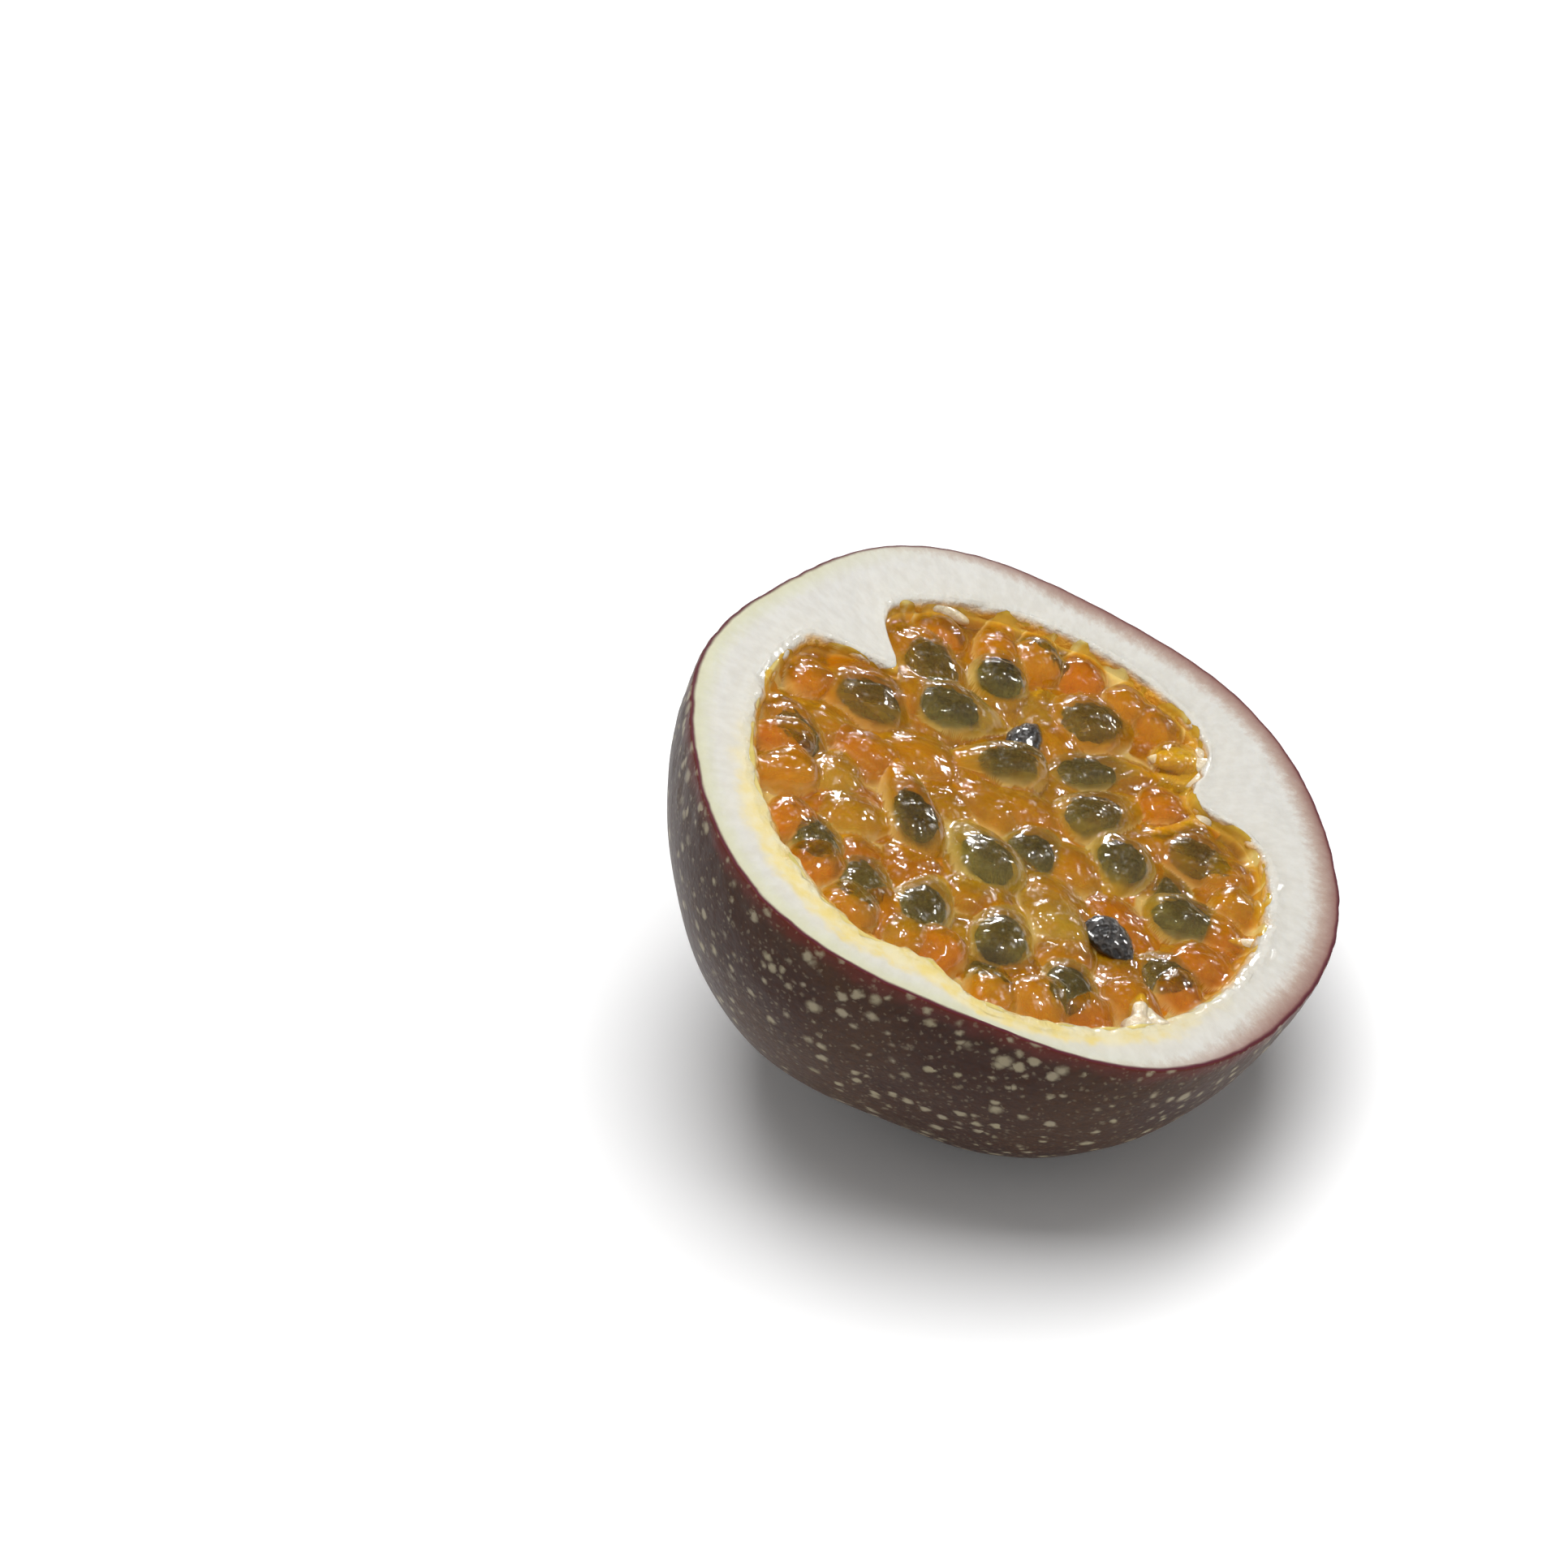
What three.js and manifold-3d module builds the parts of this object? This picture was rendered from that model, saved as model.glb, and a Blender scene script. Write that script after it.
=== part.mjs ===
// Half of a purple passion fruit, cut across the middle, lying on its rind with the cut leaning to one side.
// Millimetres, +Z up. The origin is the middle of the small flat that the rind rests on.
// It has a rind (skin and white pith, grown as one), a pulp of juice sacs, and the seeds.

import * as THREE from "three";
import { mergeVertices } from "three/addons/utils/BufferGeometryUtils.js";
import Module from "manifold-3d";

const wasm = await Module();
wasm.setup();

// Driving sizes. Lengths are in millimetres and angles in degrees.
// The fruit's own frame has its middle in the cut, with z along the fruit's axis and the fruit below z = 0.
const FRUIT_RADIUS = 28.2;
const CUT_TILT = 21.5; // how far the cut leans off level
const TILT_HEADING = -6; // the way it leans, counted from +X
const FLAT_DEPTH = 0.95; // how far the rind is flattened where it rests
const CAVITY_RADIUS = 22.4;
const CAVITY_DEPTH = 22.5;
const LIP_HEIGHT = 1.3; // the height over which the cut face rounds down into the cavity
const LIP_ROUND = 1.2;
const LIP_WIDER = { height: 0.6, crest: 240 }; // the lip's round is this much wider on one side
const SKIN_EDGE = 0.25; // the bevel that the knife leaves on the skin
const FACE_SWELL = 0.12; // the cut face rises and dips this much round the fruit
const JUICE_DEPTH = 3.2; // how far the juice between the sacs lies below the cut
const GAP = 0.35; // between the rind, the pulp and the seeds
const SCAR_RADIUS = 1.9; // the corky stem scar at the fruit's end
const SCAR_HEIGHT = 0.45;
const SCAR_DIMPLE = 0.7;

// How many faces each form has
const COLUMNS = 60;
const BOWL_ROWS = 8;
const ROW_CROWDING = 1.35; // above 1 brings the rows of the cavity's wall closer together near the lip
const SAC_SIDES = 12;
const SAC_ROWS = 8;
const SEED_SIDES = 9;
const SEED_ROWS = 6;

// The cut's outline and the cavity are circles with a few low waves: how many, how high, and where a crest is.
const OUTLINE_WAVES = [
  { count: 1, height: 0.48, crest: 227 },
  { count: 2, height: 0.48, crest: 51 },
  { count: 3, height: 0.37, crest: 88 },
  { count: 4, height: 0.51, crest: 29 },
  { count: 5, height: 0.19, crest: 18 },
  { count: 6, height: 0.38, crest: 47 },
];
const CAVITY_WAVES = [
  { count: 1, height: 1.2, crest: 240 },
  { count: 2, height: 0.8, crest: 75 },
];

// Three ridges of pith, the placentas, run down the cavity's wall. The juice sacs hang from them.
const PLACENTAS = [
  { heading: 22, reach: 5.2, spread: 11 },
  { heading: 134, reach: 6.6, spread: 8 },
  { heading: 248, reach: 1.9, spread: 8 },
];
const PLACENTA_FADE = 9; // how far below the cut a ridge dies away

// Stalks that have lost their sac: where the root is, which way it points, how far it drops, and its size.
const BARE_STALKS = [
  { x: 19.2, y: 6.4, heading: 207, drop: 12, length: 8.2, root: 1.0, tip: 0.3 },
  { x: 18.0, y: 11.2, heading: 180, drop: 4, length: 6.2, root: 1.1, tip: 0.5 },
  { x: -8.6, y: 21.6, heading: -5, drop: 6, length: 5.0, root: 0.9, tip: 0.4 },
  { x: 12.0, y: 20.9, heading: 172, drop: 8, length: 4.6, root: 0.9, tip: 0.35 },
  { x: 9.4, y: -22.2, heading: 88, drop: -4, length: 5.0, root: 1.2, tip: 0.75 },
  { x: 21.8, y: -8.2, heading: 178, drop: 8, length: 4.4, root: 0.9, tip: 0.4 },
];

// The juice sacs that show in the cut, as they lie in the real fruit: the middle's place, the way the stalk end
// points, length and width, and how deep the sac's back lies below the cut.
const SACS_WITH_SEED = [
  [-7.4, 15.8, 105, 10.5, 6.4, 0.6],
  [-0.9, 16.3, 80, 7.6, 5.2, 0.4],
  [2.5, 20.8, 155, 10.0, 3.9, 1.6],
  [8.1, 14.3, 33, 10.6, 7.2, 0.7],
  [-4.7, 9.9, 5, 9.0, 6.2, 0.2],
  [-13.6, 8.5, 168, 9.8, 6.8, 0.5],
  [-1.6, 4.9, 188, 9.2, 5.2, 0.3],
  [7.6, 7.9, 18, 10.6, 4.3, 1.1],
  [7.8, 3.1, 38, 11.0, 5.2, 0.7],
  [-19.0, 2.6, 112, 9.0, 4.8, 1.0],
  [-9.1, -3.3, 105, 11.0, 5.0, 0.3],
  [-17.5, -9.0, 112, 8.2, 4.8, 1.0],
  [-13.1, -12.3, 92, 9.4, 5.6, 1.1],
  [-7.8, -13.5, 68, 8.6, 5.2, 0.7],
  [-3.0, -6.0, 112, 8.8, 6.4, 0.3],
  [2.0, -3.0, 60, 7.0, 5.6, 1.2],
  [8.8, -3.1, 250, 7.6, 5.8, 0.6],
  [17.2, 0.6, 340, 9.6, 7.2, 0.9],
  [13.4, -2.6, 95, 6.4, 4.4, 2.0],
  [15.1, -6.7, 15, 8.8, 5.4, 0.6],
  [13.5, -13.2, 30, 8.2, 5.6, 1.2],
  [-1.3, -14.3, 75, 9.2, 5.6, 0.7],
  [4.1, -17.7, 85, 9.2, 5.4, 0.9],
  [-3.1, -18.8, 200, 6.8, 4.8, 1.9],
];
const SACS_WITHOUT_SEED = [
  [-13.6, 2.7, 150, 8.0, 4.4, 1.1],
  [-15.2, -1.6, 80, 7.0, 5.2, 0.9],
  [-13.4, -6.0, 10, 7.0, 5.0, 0.8],
  [2.6, -10.2, 118, 10.0, 5.0, 1.0],
  [-6.6, 1.6, 100, 7.0, 4.4, 2.2],
  [17.0, -10.6, 42, 8.0, 5.0, 1.3],
  [2.8, 14.0, 62, 8.0, 4.2, 1.5],
  [11.6, 0.9, 22, 6.6, 4.4, 1.8],
  [-2.8, 0.2, 150, 8.0, 4.6, 1.4],
  [3.2, 0.9, 20, 7.0, 4.6, 1.5],
  [8.0, -8.0, 60, 8.0, 4.6, 1.9],
  [8.8, -16.0, 70, 8.0, 5.0, 1.6],
  [-8.4, -8.6, 20, 6.0, 4.6, 1.7],
  [-3.2, -10.2, 40, 6.6, 4.6, 1.5],
];
// Two seeds have lost their sac and lie bare in the juice: place, heading, length, width, and depth of the top.
const BARE_SEEDS = [
  [1.1, 9.0, 66, 4.6, 2.8, 0.9],
  [7.7, -11.8, -48, 4.7, 3.7, 0.5],
];
const SAC_THICKNESS = 0.92; // of its width
const SAC_TAPER = 0.3; // how much narrower the stalk end is than the blunt end
const SAC_NOD = 5; // the most that a sac's stalk end nods up or down
const NOD_TURN = 2.4; // from one sac to the next the nod goes on by this angle, in radians
const SEED_LENGTH = 0.52; // of the sac's
const SEED_WIDTH = 0.6; // of the sac's
const SEED_LONGEST = 5.2;
const SEED_BROADEST = 3.6;
const SEED_THICKNESS = 0.62; // of its width
const SEED_TAPER = 0.18;
const SEED_COVER = 0.5; // how far under the sac's back the seed lies
const SEED_SETBACK = 0.1; // of the sac's length, from its middle towards the blunt end
const WELL_TOP = 3; // a seed's well opens upwards past the cut

const deg = THREE.MathUtils.degToRad;

// Joining and cutting

function solidOf(geometry) {
  const bare = geometry.clone();
  bare.deleteAttribute("normal");
  bare.deleteAttribute("uv");
  const merged = mergeVertices(bare, 1e-4);
  const triVerts = new Uint32Array(merged.index.array);
  const vertProperties = merged.attributes.position.array;
  return new wasm.Manifold(new wasm.Mesh({ numProp: 3, vertProperties, triVerts }));
}

function geometryOf(solid) {
  const { numVert, numProp, vertProperties, triVerts } = solid.getMesh();
  const position = new Float32Array(numVert * 3);
  for (let i = 0; i < numVert; i++) {
    position.set(vertProperties.subarray(i * numProp, i * numProp + 3), i * 3);
  }
  const geometry = new THREE.BufferGeometry();
  geometry.setAttribute("position", new THREE.BufferAttribute(position, 3));
  geometry.setIndex(new THREE.BufferAttribute(triVerts, 1));
  geometry.computeVertexNormals();
  return geometry;
}

const join = (solids) => solids.reduce((whole, solid) => whole.add(solid));

// Cutting can leave crumbs: the largest body is the piece.
const largestBody = (solid) => solid.decompose().reduce((a, b) => (b.volume() > a.volume() ? b : a));

// A closed surface swept round the z axis. profileAt(angle) gives [radius, height] points, upwards on the outside,
// and its first and last points are on the axis.
function sweepRound(profileAt, columns) {
  const first = profileAt(0);
  const rows = first.length - 2;
  const position = [0, 0, first[0][1]];
  for (let c = 0; c < columns; c++) {
    const angle = (c / columns) * 2 * Math.PI;
    const ring = profileAt(angle).slice(1, -1);
    for (const [radius, z] of ring) position.push(radius * Math.cos(angle), radius * Math.sin(angle), z);
  }
  position.push(0, 0, first[rows + 1][1]);
  const end = columns * rows + 1;
  const at = (c, r) => 1 + (c % columns) * rows + r;
  const span = (i, j) =>
    Math.hypot(...[0, 1, 2].map((axis) => position[3 * i + axis] - position[3 * j + axis]));
  const index = [];
  for (let c = 0; c < columns; c++) {
    index.push(0, at(c + 1, 0), at(c, 0));
    for (let r = 0; r < rows - 1; r++) {
      // Each cell is split along its shorter diagonal.
      const [p, q, s, t] = [at(c, r), at(c + 1, r), at(c + 1, r + 1), at(c, r + 1)];
      if (span(p, s) < span(q, t)) index.push(p, q, s, p, s, t);
      else index.push(p, q, t, q, s, t);
    }
    index.push(at(c, rows - 1), at(c + 1, rows - 1), end);
  }
  const geometry = new THREE.BufferGeometry();
  geometry.setAttribute("position", new THREE.Float32BufferAttribute(position, 3));
  geometry.setIndex(index);
  return geometry;
}

// The rind

function sumOfWaves(waves, angle) {
  const heights = waves.map((w) => w.height * Math.cos(w.count * (angle - deg(w.crest))));
  return heights.reduce((sum, height) => sum + height, 0);
}

const outlineRadius = (angle) => FRUIT_RADIUS + sumOfWaves(OUTLINE_WAVES, angle);
const lipRound = (angle) => LIP_ROUND + LIP_WIDER.height * Math.cos(angle - deg(LIP_WIDER.crest));

// The way round from one heading to another, in degrees, from -180 to 180
const turn = (from, to) => ((((to - from) % 360) + 540) % 360) - 180;

function cavityRadius(angle, depth) {
  const heading = THREE.MathUtils.radToDeg(angle);
  const fade = Math.exp(-((depth / PLACENTA_FADE) ** 2));
  const ridges = PLACENTAS.map((p) => p.reach * Math.exp(-((turn(p.heading, heading) / p.spread) ** 2)));
  return CAVITY_RADIUS + sumOfWaves(CAVITY_WAVES, angle) - fade * ridges.reduce((sum, ridge) => sum + ridge, 0);
}

// The outside, from the fruit's end up to the cut: round, with the scar where the stem was.
function outsideRows(angle) {
  const offEnd = [0, 2.2, 3.9, 5.5, 8, 12, 17, 22.5, 28, 34, 40, 46, 52, 58, 64, 70, 76, 82, 87];
  return offEnd.map((degrees) => {
    const below = Math.cos(deg(degrees));
    const outwards = Math.sin(deg(degrees));
    const across = FRUIT_RADIUS * outwards;
    const scar = SCAR_HEIGHT * Math.exp(-((across / SCAR_RADIUS) ** 4));
    const dimple = SCAR_DIMPLE * Math.exp(-((across / (2.2 * SCAR_RADIUS)) ** 2));
    const wavy = (outlineRadius(angle) - FRUIT_RADIUS) * outwards ** 2;
    const radius = FRUIT_RADIUS + wavy + scar - dimple;
    return [radius * outwards, -radius * below];
  });
}

// How far to draw in along the radius so that the wall itself, where it runs aslant, comes in by inset
function insetAlongRadius(angle, depth, inset) {
  const step = 0.02;
  const rise = (cavityRadius(angle + step, depth) - cavityRadius(angle - step, depth)) / (2 * step);
  return inset * Math.hypot(1, rise / cavityRadius(angle, depth));
}

// The cavity's wall from its lip down to its bottom, drawn in by inset
function cavityRows(angle, inset) {
  const rows = [];
  for (let r = 0; r <= BOWL_ROWS; r++) {
    const a = (r / BOWL_ROWS) ** ROW_CROWDING * (Math.PI / 2);
    const z = -LIP_HEIGHT - (CAVITY_DEPTH - LIP_HEIGHT) * Math.sin(a);
    const radius = cavityRadius(angle, -z) - insetAlongRadius(angle, -z, inset);
    rows.push([Math.max(0, radius * Math.cos(a)), z + inset * Math.sin(a)]);
  }
  return rows;
}

function rindProfile(angle) {
  const rim = outlineRadius(angle);
  const lip = cavityRadius(angle, 0);
  const round = lipRound(angle);
  const face = [
    [rim, -SKIN_EDGE],
    [rim - SKIN_EDGE, 0],
    [(rim + lip + round) / 2, FACE_SWELL * Math.sin(5 * angle)],
    [lip + round, 0],
    [lip + 0.25 * round, -0.35 * LIP_HEIGHT],
  ];
  return [...outsideRows(angle), ...face, ...cavityRows(angle, 0)];
}

// The room inside the rind that the pulp may fill, open past the cut
function cavityProfile(angle) {
  const wall = cavityRows(angle, GAP).reverse();
  const lip = cavityRadius(angle, 0) - insetAlongRadius(angle, 0, GAP);
  return [...wall, [lip, WELL_TOP], [0, WELL_TOP]];
}

// A rounded peg lying along +X from the origin, grown by a clearance on all sides
function pegGeometry({ length, root, tip }, clearance) {
  const profile = [
    [0, -clearance],
    [root + clearance, -clearance],
    [(root + tip) / 2 + clearance, length / 2],
    [tip + clearance, length - tip],
    [0, length + clearance],
  ];
  const points = profile.map(([radius, along]) => new THREE.Vector2(radius, along));
  return new THREE.LatheGeometry(points, 8).rotateZ(-Math.PI / 2);
}

function stalkSolid(stalk, clearance) {
  const geometry = pegGeometry(stalk, clearance);
  geometry.rotateY(deg(stalk.drop));
  geometry.rotateZ(deg(stalk.heading));
  geometry.translate(stalk.x, stalk.y, -stalk.root - 0.15);
  return solidOf(geometry);
}

// The pulp: egg-shaped juice sacs, run together in juice

// An egg along x, its narrow end towards +X, with its middle at the origin
function eggGeometry(length, width, thickness, taper, sides, rows) {
  const points = [];
  for (let r = 0; r <= rows; r++) {
    const a = Math.PI - (r / rows) * Math.PI;
    const radius = 0.5 * Math.sin(a) * (1 - taper * Math.cos(a));
    points.push(new THREE.Vector2(r % rows === 0 ? 0 : radius, 0.5 * Math.cos(a)));
  }
  const egg = new THREE.LatheGeometry(points, sides).rotateZ(-Math.PI / 2);
  return egg.scale(length, width, thickness);
}

function sacSolid([x, y, heading, length, width, depth], index) {
  const thickness = width * SAC_THICKNESS;
  const egg = eggGeometry(length, width, thickness, SAC_TAPER, SAC_SIDES, SAC_ROWS);
  egg.rotateY(deg(SAC_NOD * Math.sin(NOD_TURN * index)));
  egg.rotateZ(deg(heading));
  egg.translate(x, y, -depth - thickness / 2);
  return solidOf(egg);
}

// The seeds

// Where each seed lies and how large it is, worked out from its sac
function seedInSac([x, y, heading, sacLength, sacWidth, depth]) {
  const length = Math.min(SEED_LONGEST, sacLength * SEED_LENGTH);
  const width = Math.min(SEED_BROADEST, sacWidth * SEED_WIDTH);
  const setback = sacLength * SEED_SETBACK;
  return {
    x: x - setback * Math.cos(deg(heading)),
    y: y - setback * Math.sin(deg(heading)),
    z: -depth - SEED_COVER - (width * SEED_THICKNESS) / 2,
    heading,
    length,
    width,
  };
}

function bareSeed([x, y, heading, length, width, depth]) {
  return { x, y, z: -depth - (width * SEED_THICKNESS) / 2, heading, length, width };
}

const seedGeometry = ({ length, width }) =>
  eggGeometry(length, width, width * SEED_THICKNESS, SEED_TAPER, SEED_SIDES, SEED_ROWS);

// The well that a seed lies in: as wide as the seed with a gap round it, and open above.
function wellSolid({ x, y, z, heading, length, width }) {
  const top = WELL_TOP - z;
  const below = (width * SEED_THICKNESS) / 2 + GAP;
  const profile = [
    [0, -below],
    [0.75, -0.7 * below],
    [1, -0.15 * below],
    [1, top],
    [0, top],
  ];
  const points = profile.map(([radius, height]) => new THREE.Vector2(radius, height));
  const well = new THREE.LatheGeometry(points, 14).rotateX(Math.PI / 2);
  well.scale(length / 2 + GAP + 0.1, width / 2 + GAP + 0.1, 1);
  well.rotateZ(deg(heading));
  well.translate(x, y, z);
  return solidOf(well);
}

// The half fruit, in its own frame, leaned over and set down

const half = new THREE.Group();
const heading = deg(TILT_HEADING);
const axis = new THREE.Vector3(
  Math.sin(deg(CUT_TILT)) * Math.cos(heading),
  Math.sin(deg(CUT_TILT)) * Math.sin(heading),
  Math.cos(deg(CUT_TILT)),
);
half.quaternion.setFromUnitVectors(new THREE.Vector3(0, 0, 1), axis);

const rindGeometry = sweepRound(rindProfile, COLUMNS);

// The lowest point of the leaned rind goes under the origin, sunk by the depth of the flat.
function lowestPoint(geometry, quaternion) {
  const lowest = new THREE.Vector3(0, 0, Infinity);
  const point = new THREE.Vector3();
  for (let i = 0; i < geometry.attributes.position.count; i++) {
    point.fromBufferAttribute(geometry.attributes.position, i).applyQuaternion(quaternion);
    if (point.z < lowest.z) lowest.copy(point);
  }
  return lowest;
}
const lowest = lowestPoint(rindGeometry, half.quaternion);
half.position.set(-lowest.x, -lowest.y, -lowest.z - FLAT_DEPTH);
half.updateMatrix();

// Everything below the surface that the fruit rests on, seen from the fruit's own frame
function belowGround() {
  const block = new THREE.BoxGeometry(100, 100, 20).translate(0, 0, -10);
  return solidOf(block.applyMatrix4(half.matrix.clone().invert()));
}

const seeds = [...SACS_WITH_SEED.map(seedInSac), ...BARE_SEEDS.map(bareSeed)];

function rindSolid() {
  const stalks = BARE_STALKS.map((stalk) => stalkSolid(stalk, 0));
  return join([solidOf(rindGeometry), ...stalks]).subtract(belowGround());
}

function pulpSolid() {
  const juice = solidOf(new THREE.BoxGeometry(100, 100, 40).translate(0, 0, -JUICE_DEPTH - 20));
  const sacs = [...SACS_WITH_SEED, ...SACS_WITHOUT_SEED].map(sacSolid);
  const filled = join([juice, ...sacs]).intersect(solidOf(sweepRound(cavityProfile, COLUMNS)));
  const wells = seeds.map(wellSolid);
  const stalks = BARE_STALKS.map((stalk) => stalkSolid(stalk, GAP));
  return largestBody(filled.subtract(join(wells)).subtract(join(stalks)));
}

const rindMaterial = new THREE.MeshStandardMaterial({ color: 0x4a2b31, roughness: 0.5, metalness: 0 });
const pulpMaterial = new THREE.MeshStandardMaterial({ color: 0xc07a12, roughness: 0.15, metalness: 0 });
const seedMaterial = new THREE.MeshStandardMaterial({ color: 0x2a2420, roughness: 0.3, metalness: 0 });

function addPiece(name, geometry, material) {
  const mesh = new THREE.Mesh(geometry, material);
  mesh.name = name;
  half.add(mesh);
  return mesh;
}

addPiece("rind", geometryOf(rindSolid()), rindMaterial);
addPiece("pulp", geometryOf(pulpSolid()), pulpMaterial);
seeds.forEach((seed, i) => {
  const mesh = addPiece(`seed_${String(i + 1).padStart(2, "0")}`, seedGeometry(seed), seedMaterial);
  mesh.position.set(seed.x, seed.y, seed.z);
  mesh.rotation.z = deg(seed.heading);
});

const fruit = new THREE.Group();
fruit.add(half);
export default fruit;
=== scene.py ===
# %% [markdown]
# # Half a passion fruit
# This lesson dresses a cut passion fruit: a domed, speckled rind with white pith, and a wet amber pulp
# full of dark seeds. The CAD model gives the sizes and places, and Blender the fine surfaces and
# finishes.

# %% Load the frame
import math

import bpy
import numpy as np
from mathutils import Matrix, Vector


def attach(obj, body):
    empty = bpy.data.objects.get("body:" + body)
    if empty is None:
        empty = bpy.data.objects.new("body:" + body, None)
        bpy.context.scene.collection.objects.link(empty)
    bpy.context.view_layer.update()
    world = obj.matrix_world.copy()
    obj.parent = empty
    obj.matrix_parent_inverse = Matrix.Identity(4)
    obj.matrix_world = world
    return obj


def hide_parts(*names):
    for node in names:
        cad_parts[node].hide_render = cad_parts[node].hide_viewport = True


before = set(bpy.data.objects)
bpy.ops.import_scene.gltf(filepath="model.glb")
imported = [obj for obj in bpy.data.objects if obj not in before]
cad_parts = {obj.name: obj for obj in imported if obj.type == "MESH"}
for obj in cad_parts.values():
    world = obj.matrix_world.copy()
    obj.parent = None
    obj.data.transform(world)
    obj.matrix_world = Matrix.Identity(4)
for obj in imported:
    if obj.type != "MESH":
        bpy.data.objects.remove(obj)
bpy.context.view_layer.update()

seed_nodes = sorted(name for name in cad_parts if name.startswith("seed_"))
print("nodes:", len(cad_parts), "seeds:", len(seed_nodes))

# %% [markdown]
# The fruit has a frame of its own: the middle of the cut is its origin, z is the fruit's axis, and the
# fruit is below z = 0. Every shape is worked out there, in millimetres, then leaned over and set in
# place. The lean is the smallest turn that does it, so headings stay nearly as seen from above.

# %% The fruit's own frame
MM = 0.001
CUT_TILT = math.radians(21.5)
TILT_HEADING = math.radians(-6)
CUT_MIDDLE = np.array([-0.488, 0.051, 27.155])

axis = Vector((
    math.sin(CUT_TILT) * math.cos(TILT_HEADING),
    math.sin(CUT_TILT) * math.sin(TILT_HEADING),
    math.cos(CUT_TILT),
))
LEAN = np.array(Vector((0, 0, 1)).rotation_difference(axis).to_matrix())


def set_in_place(points):
    """Turns points of the fruit's own frame, in mm, by the lean, and moves them to their place, in m."""
    return (points @ LEAN.T + CUT_MIDDLE) * MM


print("axis of the fruit:", [round(c, 3) for c in axis])

# %% [markdown]
# The camera looks down on the cut at 40 degrees through a long lens, so there is almost no perspective.
# Its place is worked backwards: the cut's middle has to land on one pixel, at a known distance.

# %% Camera
PICTURE_PX = 1932
FOCAL_PX = 7023
CUT_PIXEL = (1262, 981)
CUT_DISTANCE = 451.5
CAMERA_RISE = math.radians(40)
SENSOR = 36.0


def add(name, data):
    """An object of that data, linked to the scene."""
    thing = bpy.data.objects.new(name, data)
    bpy.context.scene.collection.objects.link(thing)
    return thing


def make_camera():
    """Backs off from the cut's middle along the view, then sideways and up by its offset in the picture."""
    right = np.array([1.0, 0.0, 0.0])
    back = np.array([0.0, -math.cos(CAMERA_RISE), math.sin(CAMERA_RISE)])
    up = np.cross(back, right)
    aside = (CUT_PIXEL[0] - PICTURE_PX / 2) / FOCAL_PX * CUT_DISTANCE
    above = (PICTURE_PX / 2 - CUT_PIXEL[1]) / FOCAL_PX * CUT_DISTANCE
    place = CUT_MIDDLE + back * CUT_DISTANCE - right * aside - up * above
    data = bpy.data.cameras.new("camera")
    data.sensor_width = SENSOR
    data.lens = FOCAL_PX / PICTURE_PX * SENSOR
    data.clip_start = 0.01
    camera = add("camera", data)
    turn = Matrix(np.column_stack([right, up, back]).tolist()).to_4x4()
    camera.matrix_world = Matrix.Translation(Vector(place * MM)) @ turn
    bpy.context.scene.camera = camera
    return camera


camera = make_camera()
print("camera at", [round(c, 3) for c in camera.matrix_world.translation])

# %% [markdown]
# Surfaces here are grids of points, worked out as whole numpy arrays. One helper turns points and faces
# into a mesh, with named values stored at the points for the materials to read. A wrapped grid closes on
# itself round the fruit, and its first and last rows shrink to one point, the poles.

# %% From arrays to meshes
def make_mesh(name, points, faces, values=None):
    """A smooth mesh of points in the fruit's own frame; values maps names to a number or vector for each."""
    mesh = bpy.data.meshes.new(name)
    mesh.from_pydata(set_in_place(points).tolist(), [], faces)
    mesh.shade_smooth()
    for key, data in (values or {}).items():
        data = np.asarray(data, dtype=np.float32)
        kind, field = ("FLOAT", "value") if data.ndim == 1 else ("FLOAT_VECTOR", "vector")
        mesh.attributes.new(key, kind, "POINT").data.foreach_set(field, data.ravel())
    return add(name, mesh)


def wrapped_faces(rows, columns, first=0):
    """Outward faces of a grid whose columns close round and whose first and last rows are single points."""
    column = np.arange(columns)
    following = (column + 1) % columns
    row = np.arange(rows - 3)[:, None]
    at = lambda r, c: first + 1 + r * columns + c
    quads = np.stack([at(row, column), at(row, following), at(row + 1, following), at(row + 1, column)], -1)
    last = first + 1 + (rows - 2) * columns
    start = np.stack([np.full(columns, first), at(0, following), at(0, column)], -1)
    end = np.stack([at(rows - 3, column), at(rows - 3, following), np.full(columns, last)], -1)
    return quads.reshape(-1, 4).tolist() + start.tolist() + end.tolist()


def wrapped_values(grid):
    """Flattens a rows by columns array for a wrapped grid: each pole row becomes its own mean."""
    flat = grid[1:-1].reshape(-1, *grid.shape[2:])
    return np.concatenate([grid[:1].mean(axis=1), flat, grid[-1:].mean(axis=1)])


def say(piece):
    """Prints how many points and triangles a piece has."""
    triangles = sum(len(p.vertices) - 2 for p in piece.data.polygons)
    print(f"{piece.name}: {len(piece.data.vertices)} points, {triangles} triangles")


# %% [markdown]
# Nothing that grew is exact, so most shapes get some smooth unevenness: a sum of waves, each in its own
# direction, with a length near the wanted size. The draws are seeded, so the fruit is the same each time.

# %% Smooth unevenness
def unevenness(points, size, seed, waves=24):
    """Sums sine waves of random direction and phase, with wavelengths near size; about -1 to 1."""
    draw = np.random.default_rng(seed)
    total = np.zeros(points.shape[:-1])
    for _ in range(waves):
        way = draw.normal(size=points.shape[-1])
        way *= 2 * np.pi / (size * draw.uniform(0.7, 1.5) * np.linalg.norm(way))
        total += np.sin(points @ way + draw.uniform(0, 2 * np.pi))
    return total / math.sqrt(waves)


def smoothstep(low, high, x):
    """Rises from 0 at low to 1 at high along 3t^2 - 2t^3."""
    t = np.clip((x - low) / (high - low), 0, 1)
    return t * t * (3 - 2 * t)


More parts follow.
